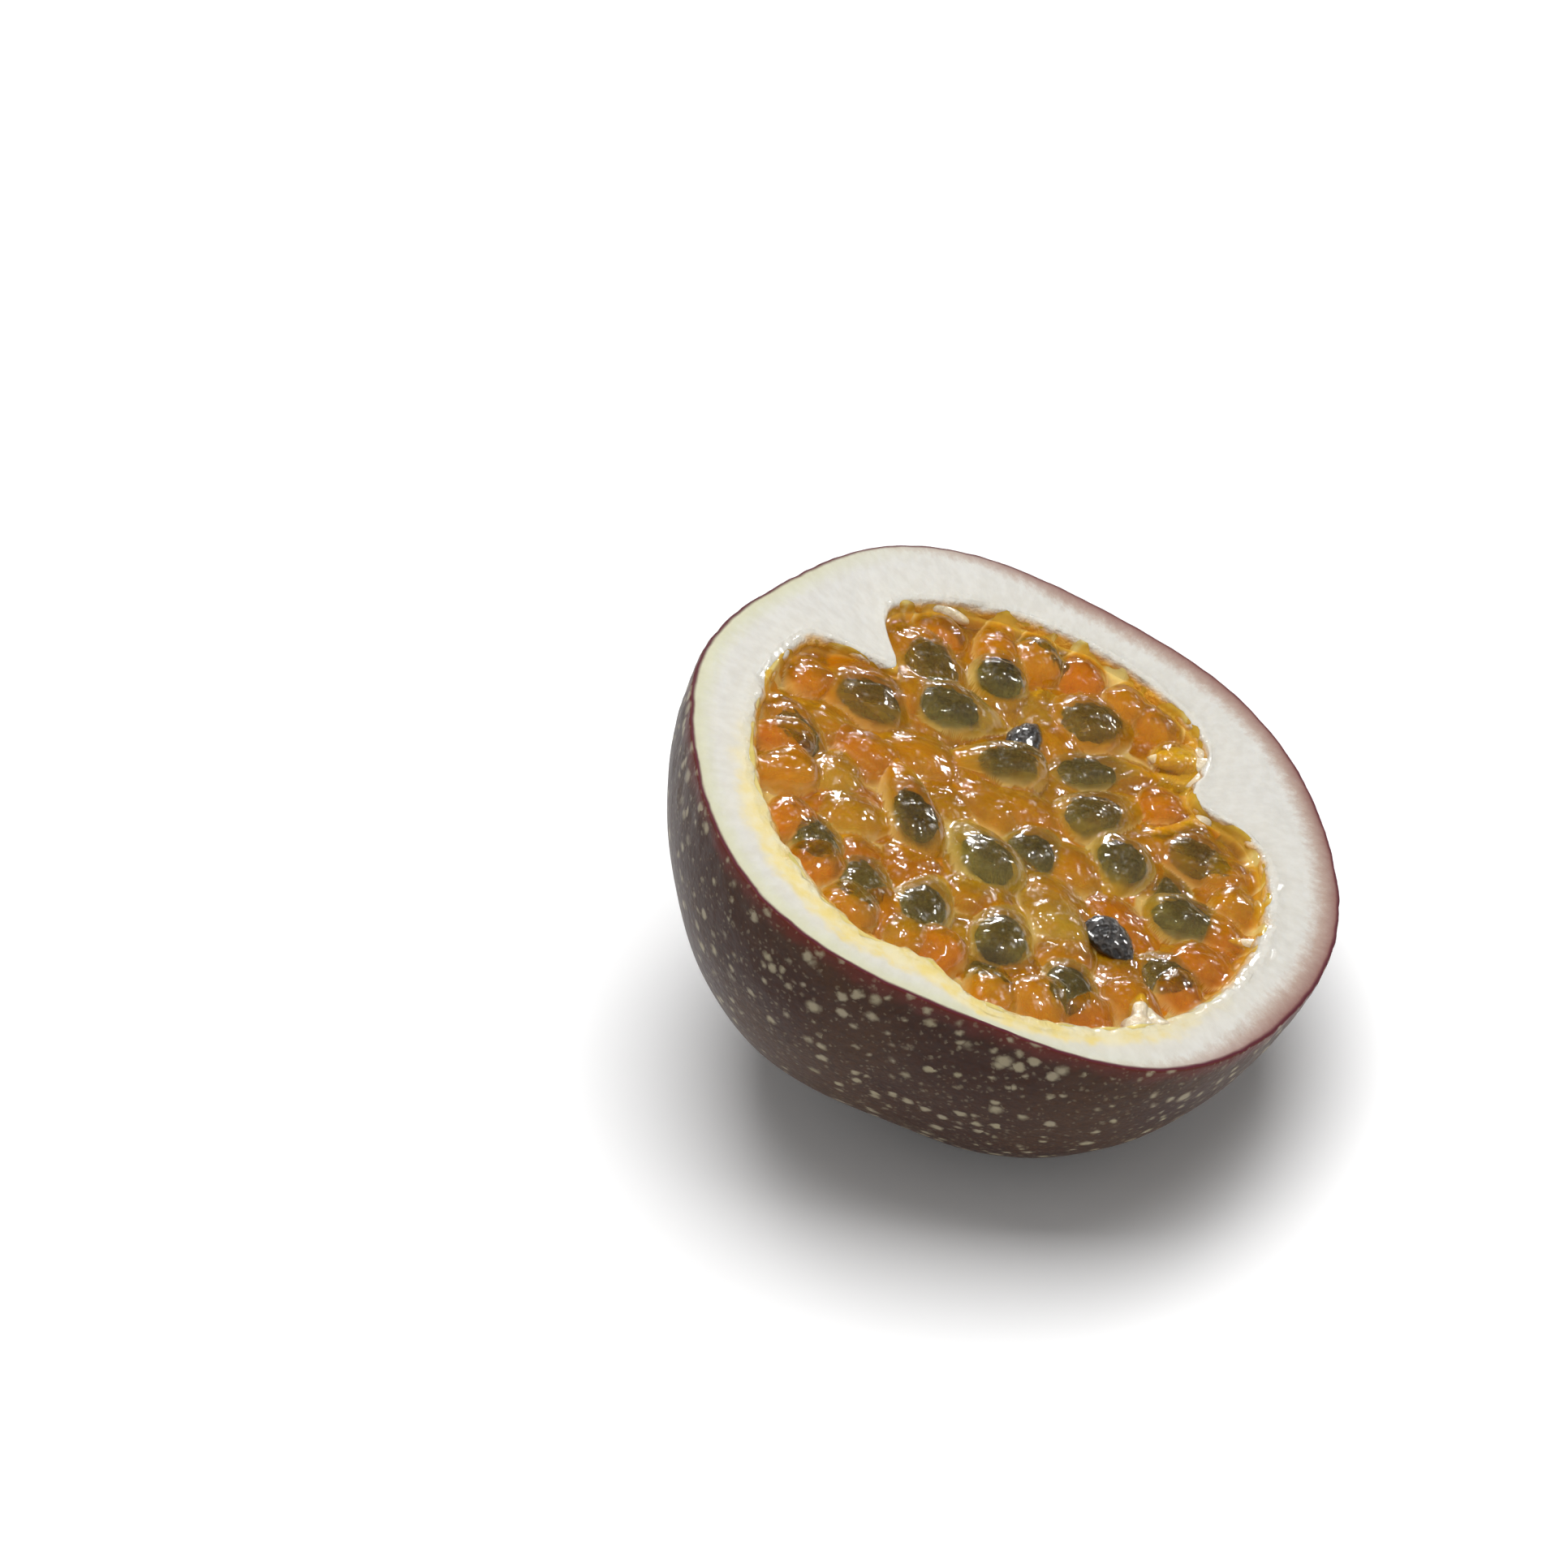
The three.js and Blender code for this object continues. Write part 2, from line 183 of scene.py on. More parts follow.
def around(heading, angle, spread):
    """A bump round the fruit: a Gaussian that is 1 at the heading, with that spread, both in degrees."""
    off = (np.degrees(angle) - heading + 540) % 360 - 180
    return np.exp(-((off / spread) ** 2))


# %% [markdown]
# The rind is one surface of revolution with a changing profile. From the fruit's end it rises on the
# outside, turns over the cut edge of the skin, crosses the white pith, rounds the lip and lines the
# cavity. The same waves and ridges shape it as in the CAD solid.

# %% The rind's sizes
FRUIT_RADIUS = 28.2
CAVITY_RADIUS = 22.4
CAVITY_DEPTH = 22.5
LIP_HEIGHT = 1.3
LIP_ROUND = 1.2
SKIN_EDGE = 0.25
SCAR_RADIUS = 1.9
SCAR_HEIGHT = 0.45
SCAR_DIMPLE = 0.7
DIMPLE_RADIUS = 2.2 * SCAR_RADIUS
OUTSIDE_TURN = math.radians(88.2)  # from the fruit's end round to the edge of the cut
FACE_SWELLS, FACE_SWELL = 5, 0.12  # how many low swells round the cut face, and how high
# Waves: how many round the fruit, how high, and the heading of a crest
OUTLINE_WAVES = [(1, 0.48, 227), (2, 0.48, 51), (3, 0.37, 88), (4, 0.51, 29), (5, 0.19, 18), (6, 0.38, 47)]
CAVITY_WAVES = [(1, 1.2, 240), (2, 0.8, 75)]
LIP_WAVES = [(1, 0.6, 240)]
PLACENTAS = [(22, 5.2, 11), (134, 6.6, 8), (248, 1.9, 8)]  # heading, reach, spread
PLACENTA_FADE = 9.0


def wavy(radius, waves, angle):
    """A radius with waves round it: r + sum of h cos(n (angle - crest))."""
    return radius + sum(h * np.cos(n * (angle - math.radians(crest))) for n, h, crest in waves)


def outline_radius(angle):
    """The cut's outline: the fruit's radius with a few low waves round it."""
    return wavy(FRUIT_RADIUS, OUTLINE_WAVES, angle)


def lip_round(angle):
    """How far the cut face rounds over before the cavity's wall."""
    return wavy(LIP_ROUND, LIP_WAVES, angle)


def cavity_radius(angle, depth):
    """The wall of the cavity: a wavy circle, less the three ridges, which fade with depth."""
    ridges = sum(reach * around(heading, angle, spread) for heading, reach, spread in PLACENTAS)
    return wavy(CAVITY_RADIUS, CAVITY_WAVES, angle) - ridges * np.exp(-((depth / PLACENTA_FADE) ** 2))


print("outline from", round(float(outline_radius(np.linspace(0, 6.28, 360)).min()), 2), "mm")

# %% [markdown]
# The profile is worked out in five stretches, and every column of the grid is one slice of the fruit.

# %% The rind's profile
RIND_COLUMNS = 440
OUTSIDE_ROWS, EDGE_ROWS, FACE_ROWS, LIP_ROWS, WALL_ROWS = 78, 7, 52, 22, 36


def rind_outside(angle):
    """Radius and height from the end to the cut: a ball with the outline's waves, a dimple and a scar."""
    off_end = OUTSIDE_TURN * np.linspace(0, 1, OUTSIDE_ROWS)[:, None] ** 1.1
    across = FRUIT_RADIUS * np.sin(off_end)
    scar = SCAR_HEIGHT * np.exp(-((across / SCAR_RADIUS) ** 4))
    dimple = SCAR_DIMPLE * np.exp(-((across / DIMPLE_RADIUS) ** 2))
    waves = (outline_radius(angle) - FRUIT_RADIUS) * np.sin(off_end) ** 2
    radius = FRUIT_RADIUS + waves + scar - dimple
    return radius * np.sin(off_end), -radius * np.cos(off_end)


def rind_edge(angle):
    """A quarter round of the skin's edge, from the outside up onto the cut."""
    turn = np.linspace(0, np.pi / 2, EDGE_ROWS)[:, None]
    rim = outline_radius(angle)
    return rim - SKIN_EDGE * (1 - np.cos(turn)), SKIN_EDGE * (np.sin(turn) - 1) + 0 * rim


def rind_face(angle):
    """The cut across the pith: rows crowd towards the skin, and the face dips and swells a little."""
    t = np.linspace(0, 1, FACE_ROWS + 1)[1:, None] ** 1.5
    outer = outline_radius(angle) - SKIN_EDGE
    inner = cavity_radius(angle, 0) + lip_round(angle)
    radius = outer + (inner - outer) * t
    return radius, np.sin(np.pi * t) * FACE_SWELL * np.sin(FACE_SWELLS * angle)


def rind_lip(angle):
    """A quarter of an ellipse from the cut face down into the cavity."""
    turn = np.linspace(0, np.pi / 2, LIP_ROWS + 1)[1:, None]
    lip = cavity_radius(angle, LIP_HEIGHT * (1 - np.cos(turn)))
    return lip + lip_round(angle) * (1 - np.sin(turn)), LIP_HEIGHT * (np.cos(turn) - 1) + 0 * lip


def rind_wall(angle):
    """The cavity's wall: a quarter ellipse from the lip down to the middle of the bottom."""
    turn = (np.linspace(0, 1, WALL_ROWS + 1)[1:, None] ** 1.35) * np.pi / 2
    z = -LIP_HEIGHT - (CAVITY_DEPTH - LIP_HEIGHT) * np.sin(turn)
    return np.maximum(cavity_radius(angle, -z) * np.cos(turn), 0), z + 0 * angle


def rind_grid():
    """Stacks the five stretches of the profile into one grid of points, with the angle of each column."""
    angle = np.linspace(0, 2 * np.pi, RIND_COLUMNS, endpoint=False)[None, :]
    stretches = [part(angle) for part in (rind_outside, rind_edge, rind_face, rind_lip, rind_wall)]
    radius, z = (np.concatenate([s[i] for s in stretches]) for i in (0, 1))
    radius[-1] = 0
    angle = np.broadcast_to(angle, radius.shape)
    return np.stack([radius * np.cos(angle), radius * np.sin(angle), z], -1), angle, radius


rind_points, rind_angle, rind_radius = rind_grid()
print("rind grid:", rind_points.shape)

# %% [markdown]
# Fruit tissue tears a little under a knife. The lip and the wall below it get a lumpy relief, strongest
# at the lower left, where stalks were pulled. The outside gets only broad, faint hollows. The lowest part
# is pressed flat where the fruit rests.

# %% Roughen and flatten the rind
FACE_START = OUTSIDE_ROWS + EDGE_ROWS
LIP_START = FACE_START + FACE_ROWS
WALL_START = LIP_START + LIP_ROWS
REST_PLANE = 0.0
TEAR, FACE_ROUGH, HOLLOW, NICK = 0.28, 0.07, 0.05, 0.07  # the relief's heights in mm


def row_band(start, full, fall, end):
    """0 at row start, 1 from row full to row fall, 0 again at row end: a column to multiply a grid by."""
    row = np.arange(WALL_START + WALL_ROWS)[:, None]
    return smoothstep(start, full, row) * smoothstep(end, fall, row)


def roughen_rind(points, angle):
    """Moves the lip and wall in and out along the radius, and lifts and lowers the cut face slightly."""
    inwards = -np.stack([np.cos(angle), np.sin(angle), np.zeros_like(angle)], -1)
    near_lip = row_band(LIP_START - 10, LIP_START + 8, WALL_START + 4, WALL_START + 16)
    torn = 0.25 + 0.75 * around(238, angle, 55) + 0.4 * around(22, angle, 30)
    lumps = unevenness(points, 2.6, 11) + 0.6 * unevenness(points, 1.1, 12)
    moved = points + inwards * (near_lip * torn * TEAR * lumps)[..., None]
    face = row_band(FACE_START + 8, FACE_START + 22, LIP_START + 4, LIP_START + 12)
    moved[..., 2] += face * (FACE_ROUGH * unevenness(points, 6.0, 13) + 0.03 * unevenness(points, 1.6, 14))
    outside = row_band(-2, -1, OUTSIDE_ROWS - 14, OUTSIDE_ROWS - 2)
    hollows = HOLLOW * unevenness(points, 9.0, 15) * outside
    rim = row_band(OUTSIDE_ROWS - 16, OUTSIDE_ROWS, FACE_START, FACE_START + 12)
    nicks = rim * NICK * (1 + 0.6 * unevenness(points, 3.5, 16) + 0.4 * unevenness(points, 1.3, 17))
    return moved + points / FRUIT_RADIUS * hollows[..., None] + inwards * nicks[..., None]


def flatten_rest(points):
    """Lifts every point that is below the resting plane up to it, straight up in the part's frame."""
    world = points @ LEAN.T + CUT_MIDDLE
    world[..., 2] = np.maximum(world[..., 2], REST_PLANE)
    return (world - CUT_MIDDLE) @ LEAN


rind_points = flatten_rest(roughen_rind(rind_points, rind_angle))
print("rind's lowest point in m:", set_in_place(rind_points)[..., 2].min().round(6))

# %% [markdown]
# The finish needs to know how deep in the rind a point lies, so the mesh carries that as values.

# %% The rind as a piece
FIBRE_ROUND, FIBRE_IN = 28, 0.7  # how fast noise changes round the fruit and inwards


def rind_values(points, angle, radius):
    """Skin depth: mm inwards from the skin. Lining: 0 at the skin to 1 at the lip, then on by mm down the
    wall. Fibre: turns with the angle and changes slowly inwards, so that noise on it streaks inwards.
    Heading: the way out from the axis. Below rim: mm under the cut."""
    rows = np.arange(len(points))[:, None]
    outer = outline_radius(angle)
    skin_depth = np.where(rows < OUTSIDE_ROWS, 0, outer - radius)
    inner = cavity_radius(angle, 0) + lip_round(angle)
    lining = np.clip((outer - radius) / (outer - inner), 0, 1) * (rows >= FACE_START)
    lining = np.where(rows >= LIP_START, 1 - np.minimum(points[..., 2], 0), lining)
    fibre = np.stack([FIBRE_ROUND * np.cos(angle), FIBRE_ROUND * np.sin(angle), FIBRE_IN * skin_depth], -1)
    heading = np.stack([np.cos(angle), np.sin(angle), np.zeros_like(angle)], -1)
    below_rim = np.maximum(-points[..., 2], 0)
    return dict(skin_depth=skin_depth, lining=lining, fibre=fibre, heading=heading, below_rim=below_rim)


def make_rind():
    """Builds the rind's mesh from its grid, with the values that its finish reads."""
    values = rind_values(rind_points, rind_angle, rind_radius)
    values = {key: wrapped_values(data) for key, data in values.items()}
    faces = wrapped_faces(*rind_points.shape[:2])
    return make_mesh("fine_rind", wrapped_values(rind_points), faces, values)


rind = make_rind()
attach(rind, "root")
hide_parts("rind")
say(rind)

# %% [markdown]
# Shader maths reads best as expressions. A small class wraps a socket and overloads the operators, so
# that 1 - mask adds its own Math node. Another makes the material and adds any node by its type, its
# settings and its sockets' values or links.

# %% Expressions for shaders
class Value:
    """A socket of a material, usable in arithmetic with numbers and other sockets."""

    def __init__(self, finish, socket):
        self.finish, self.socket = finish, socket

    def maths(self, operation, *others):
        """Adds a Math node of that operation on this value and the others."""
        inputs = dict(enumerate((self,) + others))
        return self.finish.node("ShaderNodeMath", {"operation": operation}, inputs)

    def __add__(self, other):
        return self.maths("ADD", other)

    def __mul__(self, other):
        return self.maths("MULTIPLY", other)

    def __sub__(self, other):
        return self.maths("SUBTRACT", other)

    def __rsub__(self, other):
        inputs = {0: other, 1: self}
        return self.finish.node("ShaderNodeMath", {"operation": "SUBTRACT"}, inputs)

    def __truediv__(self, other):
        return self.maths("DIVIDE", other)

    def __pow__(self, other):
        return self.maths("POWER", other)

    __radd__, __rmul__ = __add__, __mul__

    def step(self, low, high):
        """Rises smoothly from 0 at low to 1 at high; low above high makes it fall."""
        if low > high:
            return 1 - self.step(high, low)
        inputs = {"Value": self, "From Min": low, "From Max": high}
        settings = {"interpolation_type": "SMOOTHSTEP"}
        return self.finish.node("ShaderNodeMapRange", settings, inputs)


class Finish:
    """A material, or the world, with a node tree that is written as expressions."""

    def __init__(self, name, kind="Material"):
        self.kind = kind
        owners = bpy.data.worlds if kind == "World" else bpy.data.materials
        self.owner = owners.new(name)
        self.owner.use_nodes = True
        self.tree = self.owner.node_tree
        self.tree.nodes.clear()

    def node(self, kind, settings=None, inputs=None, output=0):
        """Adds a node: its type, settings, the values or links of its sockets, and which output to give."""
        node = self.tree.nodes.new(kind)
        for key, value in (settings or {}).items():
            setattr(node, key, value)
        for key, value in (inputs or {}).items():
            socket = node.inputs[key]
            if isinstance(value, Value):
                self.tree.links.new(value.socket, socket)
            else:
                socket.default_value = (*value, 1) if socket.type == "RGBA" else value
        return Value(self, node.outputs[output])

    def ramp(self, factor, stops):
        """A colour that runs through stops, each a place from 0 to 1 and an sRGB colour, by a factor."""
        ramp = self.node("ShaderNodeValToRGB", None, {"Fac": factor})
        elements = ramp.socket.node.color_ramp.elements
        while len(elements) < len(stops):
            elements.new(0.5)
        for element, (place, colour) in zip(elements, stops):
            element.position, element.color = place, (*srgb(*colour), 1)
        return ramp

    def mix(self, factor, first, second):
        """Mixes two colours by a factor."""
        return self.node("ShaderNodeMix", {"data_type": "RGBA"}, {0: factor, 6: first, 7: second}, output=2)

    def vectors(self, operation, first, second, output=0):
        """Adds a Vector Math node of that operation on two vectors."""
        return self.node("ShaderNodeVectorMath", {"operation": operation}, {0: first, 1: second}, output)

    def here(self):
        """Object coordinates, in mm."""
        return self.vectors("MULTIPLY", self.node("ShaderNodeTexCoord", output="Object"), (1 / MM,) * 3)

    def along(self, vector, way):
        """How far a vector reaches along a way: their dot product."""
        return self.vectors("DOT_PRODUCT", vector, way, "Value")

    def stored(self, name, output="Fac"):
        """A value that was stored at the mesh's points."""
        return self.node("ShaderNodeAttribute", {"attribute_name": name}, output=output)

    def noise(self, vector, scale, detail=3.0, roughness=0.55, output="Fac"):
        """Fractal noise about 1 / scale mm across."""
        inputs = {"Vector": vector, "Scale": scale, "Detail": detail, "Roughness": roughness}
        return self.node("ShaderNodeTexNoise", None, inputs, output)

    def bump(self, height, distance, strength):
        """A normal bent by a height; distance is the height's reach in metres."""
        inputs = {"Height": height, "Distance": distance, "Strength": strength}
        return self.node("ShaderNodeBump", None, inputs)

    def surface(self, glow=None, **inputs):
        """A Principled surface; a name's underscores stand for spaces. glow: how much light spreads below
        it, how far for each colour, and the scale in m."""
        if glow:
            inputs.update(zip(("Subsurface_Weight", "Subsurface_Radius", "Subsurface_Scale"), glow))
        inputs = {key.replace("_", " "): value for key, value in inputs.items()}
        return self.node("ShaderNodeBsdfPrincipled", None, inputs)

    def finish(self, shader):
        """Links the last shader to the output and returns the material or world."""
        output = self.tree.nodes.new("ShaderNodeOutput" + self.kind)
        self.tree.links.new(shader.socket, output.inputs["Surface"])
        return self.owner


def srgb(red, green, blue):
    """A colour given as 0 to 255 in sRGB, as the linear numbers that Blender works with."""
    c = np.array([red, green, blue]) / 255
    return tuple(float(v) for v in np.where(c <= 0.04045, c / 12.92, ((c + 0.055) / 1.055) ** 2.4))


print("mid grey in linear:", srgb(128, 128, 128))

# %% [markdown]
# The skin is dark purple-brown under a haze of pale flecks. Cells of a Voronoi pattern, in three sizes,
# stand for the flecks: each draws its own radius, and many draw none. Noise bends the pattern, which
# frays the flecks. The pith is white, fibrous and slightly see-through, bruised purple near the skin on
# one side and greenish on the other, and stained cream where the pulp touched it.

# %% Skin and pith
FLECKS = [  # cells per mm, least random draw that shows, growth of the radius, softness, strength
    (0.42, 0.2, 0.32, 0.12, 0.85),
    (0.75, 0.2, 0.46, 0.15, 0.85),
    (2.20, 0.25, 0.5, 0.20, 0.28),
]
FRAYING = (0.8, 0.8, 0.8)  # mm that the noise shifts the pattern by
BRUISED_SIDE = (0.93, 0.35, 0)  # where the pith is bruised, seen from above
LOW_SIDE = (-0.38, -0.92, 0)  # and where it is stained most


def flecks(f, place, cells, least, growth, soft):
    """1 inside a fleck: the distance to a cell's middle, against a radius that grows with its draw."""
    inputs = {"Vector": place, "Scale": cells}
    pattern = f.node("ShaderNodeTexVoronoi", None, inputs, "Distance")
    draw = f.along(Value(f, pattern.socket.node.outputs["Color"]), (1, 0, 0))
    inside = (draw - least) * growth - pattern
    return inside.step(-soft, soft)


def skin_colour(f):
    """Brown-purple mottled by broad noise, with the three sizes of fleck over it."""
    place = f.here()
    shift = f.noise(place, 1.3, 5.0, 0.5, "Color")
    bent = f.vectors("ADD", place, f.vectors("MULTIPLY", shift, FRAYING))
    broad = f.noise(place, 0.09, 2.0).step(0.35, 0.65)
    colour = f.mix(broad, srgb(54, 25, 9), srgb(65, 38, 16))
    fine = f.noise(place, 2.4, 4.0).step(0.3, 0.75)
    colour = f.mix(fine * 0.5, colour, srgb(36, 23, 21))
    rim = f.stored("below_rim") + (f.noise(place, 0.5) - 0.5) * 2.4
    colour = f.mix(rim.step(1.9, 0.1) * 0.65, colour, srgb(96, 36, 30))
    pale = f.mix(f.noise(place, 0.2), srgb(156, 148, 112), srgb(150, 138, 122))
    mask, *others = (flecks(f, bent, *fleck) * strength for *fleck, strength in FLECKS)
    for layer in others:
        mask = mask.maths("MAXIMUM", layer)
    return f.mix(mask, colour, pale)


def pith_colour(f, depth, lining):
    """White pith by streaky noise; purple and green near the skin; cream towards the cavity."""
    place, heading = f.here(), f.stored("heading", "Vector")
    fibre = f.noise(f.stored("fibre", "Vector"), 1.1, 4.0, 0.6)
    colour = f.mix(fibre.step(0.3, 0.7), srgb(195, 192, 185), srgb(203, 201, 195))
    side = f.along(heading, BRUISED_SIDE)
    bruised = side.step(-0.25, 0.6)
    ragged = (f.noise(f.stored("fibre", "Vector"), 1.6, 5.0, 0.75) - 0.5) * 3.2
    reach = 0.6 + bruised * 2.3 + ragged
    stain = (1 - (depth / reach.maths("MAXIMUM", 0.3))).maths("MAXIMUM", 0.0)
    colour = f.mix((stain * 2.0).maths("MINIMUM", 1.0) * (0.1 + bruised * 0.5), colour, srgb(184, 158, 136))
    colour = f.mix(stain ** 1.4 * (0.2 + bruised * 0.8), colour, srgb(112, 58, 54))
    green = (0.2 - side).step(-0.1, 0.8) * (depth + ragged * 0.5).step(2.6, 0.4)
    colour = f.mix(green * 0.5, colour, srgb(190, 190, 138))
    colour = f.mix(depth.step(0.5, 0.15), colour, srgb(84, 34, 44))
    low = f.along(heading, LOW_SIDE).step(0.15, 0.95)
    cream = (lining + (f.noise(place, 0.3) - 0.5) * 0.4).step(0.2, 1.1)
    colour = f.mix(cream * (0.1 + low * 0.35), colour, srgb(208, 198, 164))
    stained = (lining + (f.noise(place, 0.7, 4.0) - 0.5) * 0.7 + low * 0.4).step(0.9, 1.25)
    wet = f.mix(f.noise(place, 0.6, 3.0).step(0.3, 0.7), srgb(214, 194, 122), srgb(214, 204, 168))
    colour = f.mix(stained * (0.06 + low * 0.94), colour, wet)
    under = (lining + (f.noise(place, 0.5, 4.0) - 0.5) * 1.2).step(1.1, 1.9)
    return f.mix(under, colour, srgb(214, 160, 58)), fibre


def rind_finish():
    """Skin outside, pith inside, parted by how deep below the skin a point is."""
    f = Finish("speckled skin and pith")
    depth, lining = f.stored("skin_depth"), f.stored("lining")
    skin = skin_colour(f)
    pith, fibre = pith_colour(f, depth, lining)
    inside = depth.step(0.02, 0.12)
    wet = lining.step(0.8, 1.25)
    place = f.here()
    dimples = f.noise(place, 0.9, 2.0) * (1 - inside)
    grain = (fibre * 0.5 + f.noise(place, 3.0, 3.0) * 0.4) * inside
    lumps = f.noise(place, 1.3, 3.0) * wet
    height = dimples * 0.2 + grain * 0.1 + lumps * 0.9
    roughness = 0.42 + inside * (0.3 - wet * 0.45)
    shader = f.surface(
        Base_Color=f.mix(inside, skin, pith),
        Roughness=roughness,
        glow=(0.18, (1.0, 0.75, 0.5), 0.0012),
        IOR=1.4,
        Specular_IOR_Level=0.2,
        Coat_Weight=wet * 0.6,
        Coat_Roughness=0.12,
        Normal=f.bump(height, 0.0006, 0.8),
    )
    return f.finish(shader)


rind.data.materials.append(rind_finish())
print("rind finish:", len(rind.data.materials[0].node_tree.nodes), "nodes")

# %% [markdown]
# The pulp is a crowd of juice sacs. Each is an egg lying on its side, its narrow, stalk end towards the
# wall. From above the pulp is one wet surface: at each point the highest egg wins, and where two are
# nearly level the juice rounds the crease. The sacs that show are placed one by one as they lie in the
# fruit. Others, under them and along the wall, are drawn at random and fill the gaps.

# %% Where the juice sacs lie
# Middle x and y, heading of the stalk end, length, width, depth of the back below the cut, how orange the
# sac is (0 to 1), and how clear over its seed (0 to 1).
SACS_WITH_SEED = [
    (-7.4, 15.8, 105, 10.5, 6.4, 0.6, 0.75, 0.35),
    (-0.9, 16.3, 80, 7.6, 5.2, 0.4, 0.35, 0.95),
    (2.5, 20.8, 155, 10.0, 3.9, 1.6, 0.6, 0.4),
    (8.1, 14.3, 33, 10.6, 7.2, 0.7, 0.75, 0.3),
    (-4.7, 9.9, 5, 9.0, 6.2, 0.2, 0.3, 0.5),
    (-13.6, 8.5, 168, 9.8, 6.8, 0.5, 0.8, 0.35),
    (-1.6, 4.9, 188, 9.2, 5.2, 0.3, 0.55, 0.6),
    (7.6, 7.9, 18, 10.6, 4.3, 1.1, 0.45, 0.4),
    (7.8, 3.1, 38, 11.0, 5.2, 0.7, 0.5, 0.4),
    (-19.0, 2.6, 112, 9.0, 4.8, 1.0, 0.7, 0.3),
    (-9.1, -3.3, 105, 11.0, 5.0, 0.3, 0.6, 0.95),
    (-17.5, -9.0, 112, 8.2, 4.8, 1.0, 0.35, 0.5),
    (-13.1, -12.3, 92, 9.4, 5.6, 1.1, 0.45, 0.25),
    (-7.8, -13.5, 68, 8.6, 5.2, 0.7, 0.3, 0.5),
    (-3.0, -6.0, 112, 8.8, 6.4, 0.3, 0.15, 0.3),
    (2.0, -3.0, 60, 7.0, 5.6, 1.2, 0.15, 0.7),
    (8.8, -3.1, 250, 7.6, 5.8, 0.6, 0.3, 0.5),
    (17.2, 0.6, 340, 9.6, 7.2, 0.9, 0.95, 0.35),
    (13.4, -2.6, 95, 6.4, 4.4, 2.0, 0.5, 0.4),
    (15.1, -6.7, 15, 8.8, 5.4, 0.6, 0.3, 0.5),
    (13.5, -13.2, 30, 8.2, 5.6, 1.2, 0.6, 0.4),
    (-1.3, -14.3, 75, 9.2, 5.6, 0.7, 0.3, 0.45),
    (4.1, -17.7, 85, 9.2, 5.4, 0.9, 0.3, 0.5),
    (-3.1, -18.8, 200, 6.8, 4.8, 1.9, 0.8, 0.3),
]
SACS_WITHOUT_SEED = [
    (-13.6, 2.7, 150, 8.0, 4.4, 1.1, 0.85),
    (-15.2, -1.6, 80, 7.0, 5.2, 0.9, 0.3),
    (-13.4, -6.0, 10, 7.0, 5.0, 0.8, 0.35),
    (2.6, -10.2, 118, 10.0, 5.0, 1.0, 0.2),
    (-6.6, 1.6, 100, 7.0, 4.4, 2.2, 0.6),
    (17.0, -10.6, 42, 8.0, 5.0, 1.3, 0.9),
    (2.8, 14.0, 62, 8.0, 4.2, 1.5, 0.3),
    (11.6, 0.9, 22, 6.6, 4.4, 1.8, 0.7),
    (-2.8, 0.2, 150, 8.0, 4.6, 1.4, 0.5),
    (3.2, 0.9, 20, 7.0, 4.6, 1.5, 0.4),
    (8.0, -8.0, 60, 8.0, 4.6, 1.9, 0.7),
    (8.8, -16.0, 70, 8.0, 5.0, 1.6, 0.6),
    (-8.4, -8.6, 20, 6.0, 4.6, 1.7, 0.7),
    (-3.2, -10.2, 40, 6.6, 4.6, 1.5, 0.5),
]
BARE_SEEDS = [(1.1, 9.0, 66, 4.6, 2.8, 0.9), (7.7, -11.8, -48, 4.7, 3.7, 0.5)]
SAC_THICKNESS = 0.92
SAC_TAPER = 0.4
SAC_NOD, NOD_TURN = math.radians(5), 2.4  # the most that a sac nods, and its change to the next
JUICE_DEPTH = 2.2
LOWER_SACS, LOWER_REACH = 44, 21.5
LOWER_SPANS = (7.5, 10.5), (4.6, 6.4), (1.3, 2.0)  # of length, width and depth
GOLDEN_ANGLE = math.radians(137.5)
WALL_SACS, WALL_OVERLAP = 30, 1.2
WALL_SPANS = (5.0, 7.5), (4.0, 5.6)  # of length and width

shown = np.array(SACS_WITH_SEED + [row + (0.0,) for row in SACS_WITHOUT_SEED])


def lower_sacs():
    """Draws sacs under the shown ones: spread evenly over the disc along a spiral, with random headings."""
    draw = np.random.default_rng(5)
    n = np.arange(LOWER_SACS)
    radius = LOWER_REACH * np.sqrt((n + 0.5) / LOWER_SACS)
    turn = n * GOLDEN_ANGLE
    x, y = radius * np.cos(turn), radius * np.sin(turn)
    length, width, depth = (draw.uniform(*span, n.size) for span in LOWER_SPANS)
    heading = np.degrees(turn) + draw.uniform(-50, 50, n.size)
    return np.stack([x, y, heading, length, width, depth, draw.uniform(0.4, 1.0, n.size), 0 * n], -1)


def wall_sacs():
    """Draws sacs that lean on the cavity's wall all round, stalk end to the wall, a little below the lip."""
    draw = np.random.default_rng(8)
    turn = (np.arange(WALL_SACS) + draw.uniform(-0.3, 0.3, WALL_SACS)) * 2 * np.pi / WALL_SACS
    length, width = (draw.uniform(*span, turn.size) for span in WALL_SPANS)
    radius = cavity_radius(turn, 1.5) + WALL_OVERLAP - length / 2
    heading = np.degrees(turn) + draw.uniform(-25, 25, turn.size)
    depth = draw.uniform(0.3, 0.9, turn.size)
    warmth = draw.uniform(0.5, 1.0, turn.size)
    x, y = radius * np.cos(turn), radius * np.sin(turn)
    return np.stack([x, y, heading, length, width, depth, warmth, 0 * turn], -1)


sacs = np.concatenate([shown, lower_sacs(), wall_sacs()])
print("juice sacs:", len(sacs))

# %% [markdown]
# The pulp's surface is a height over the plane of the cut. Each point also keeps what the finish wants to
# know: where it lies along and across its sac, how close a crease or the sac's edge is, and how squarely
# it lies over a seed.

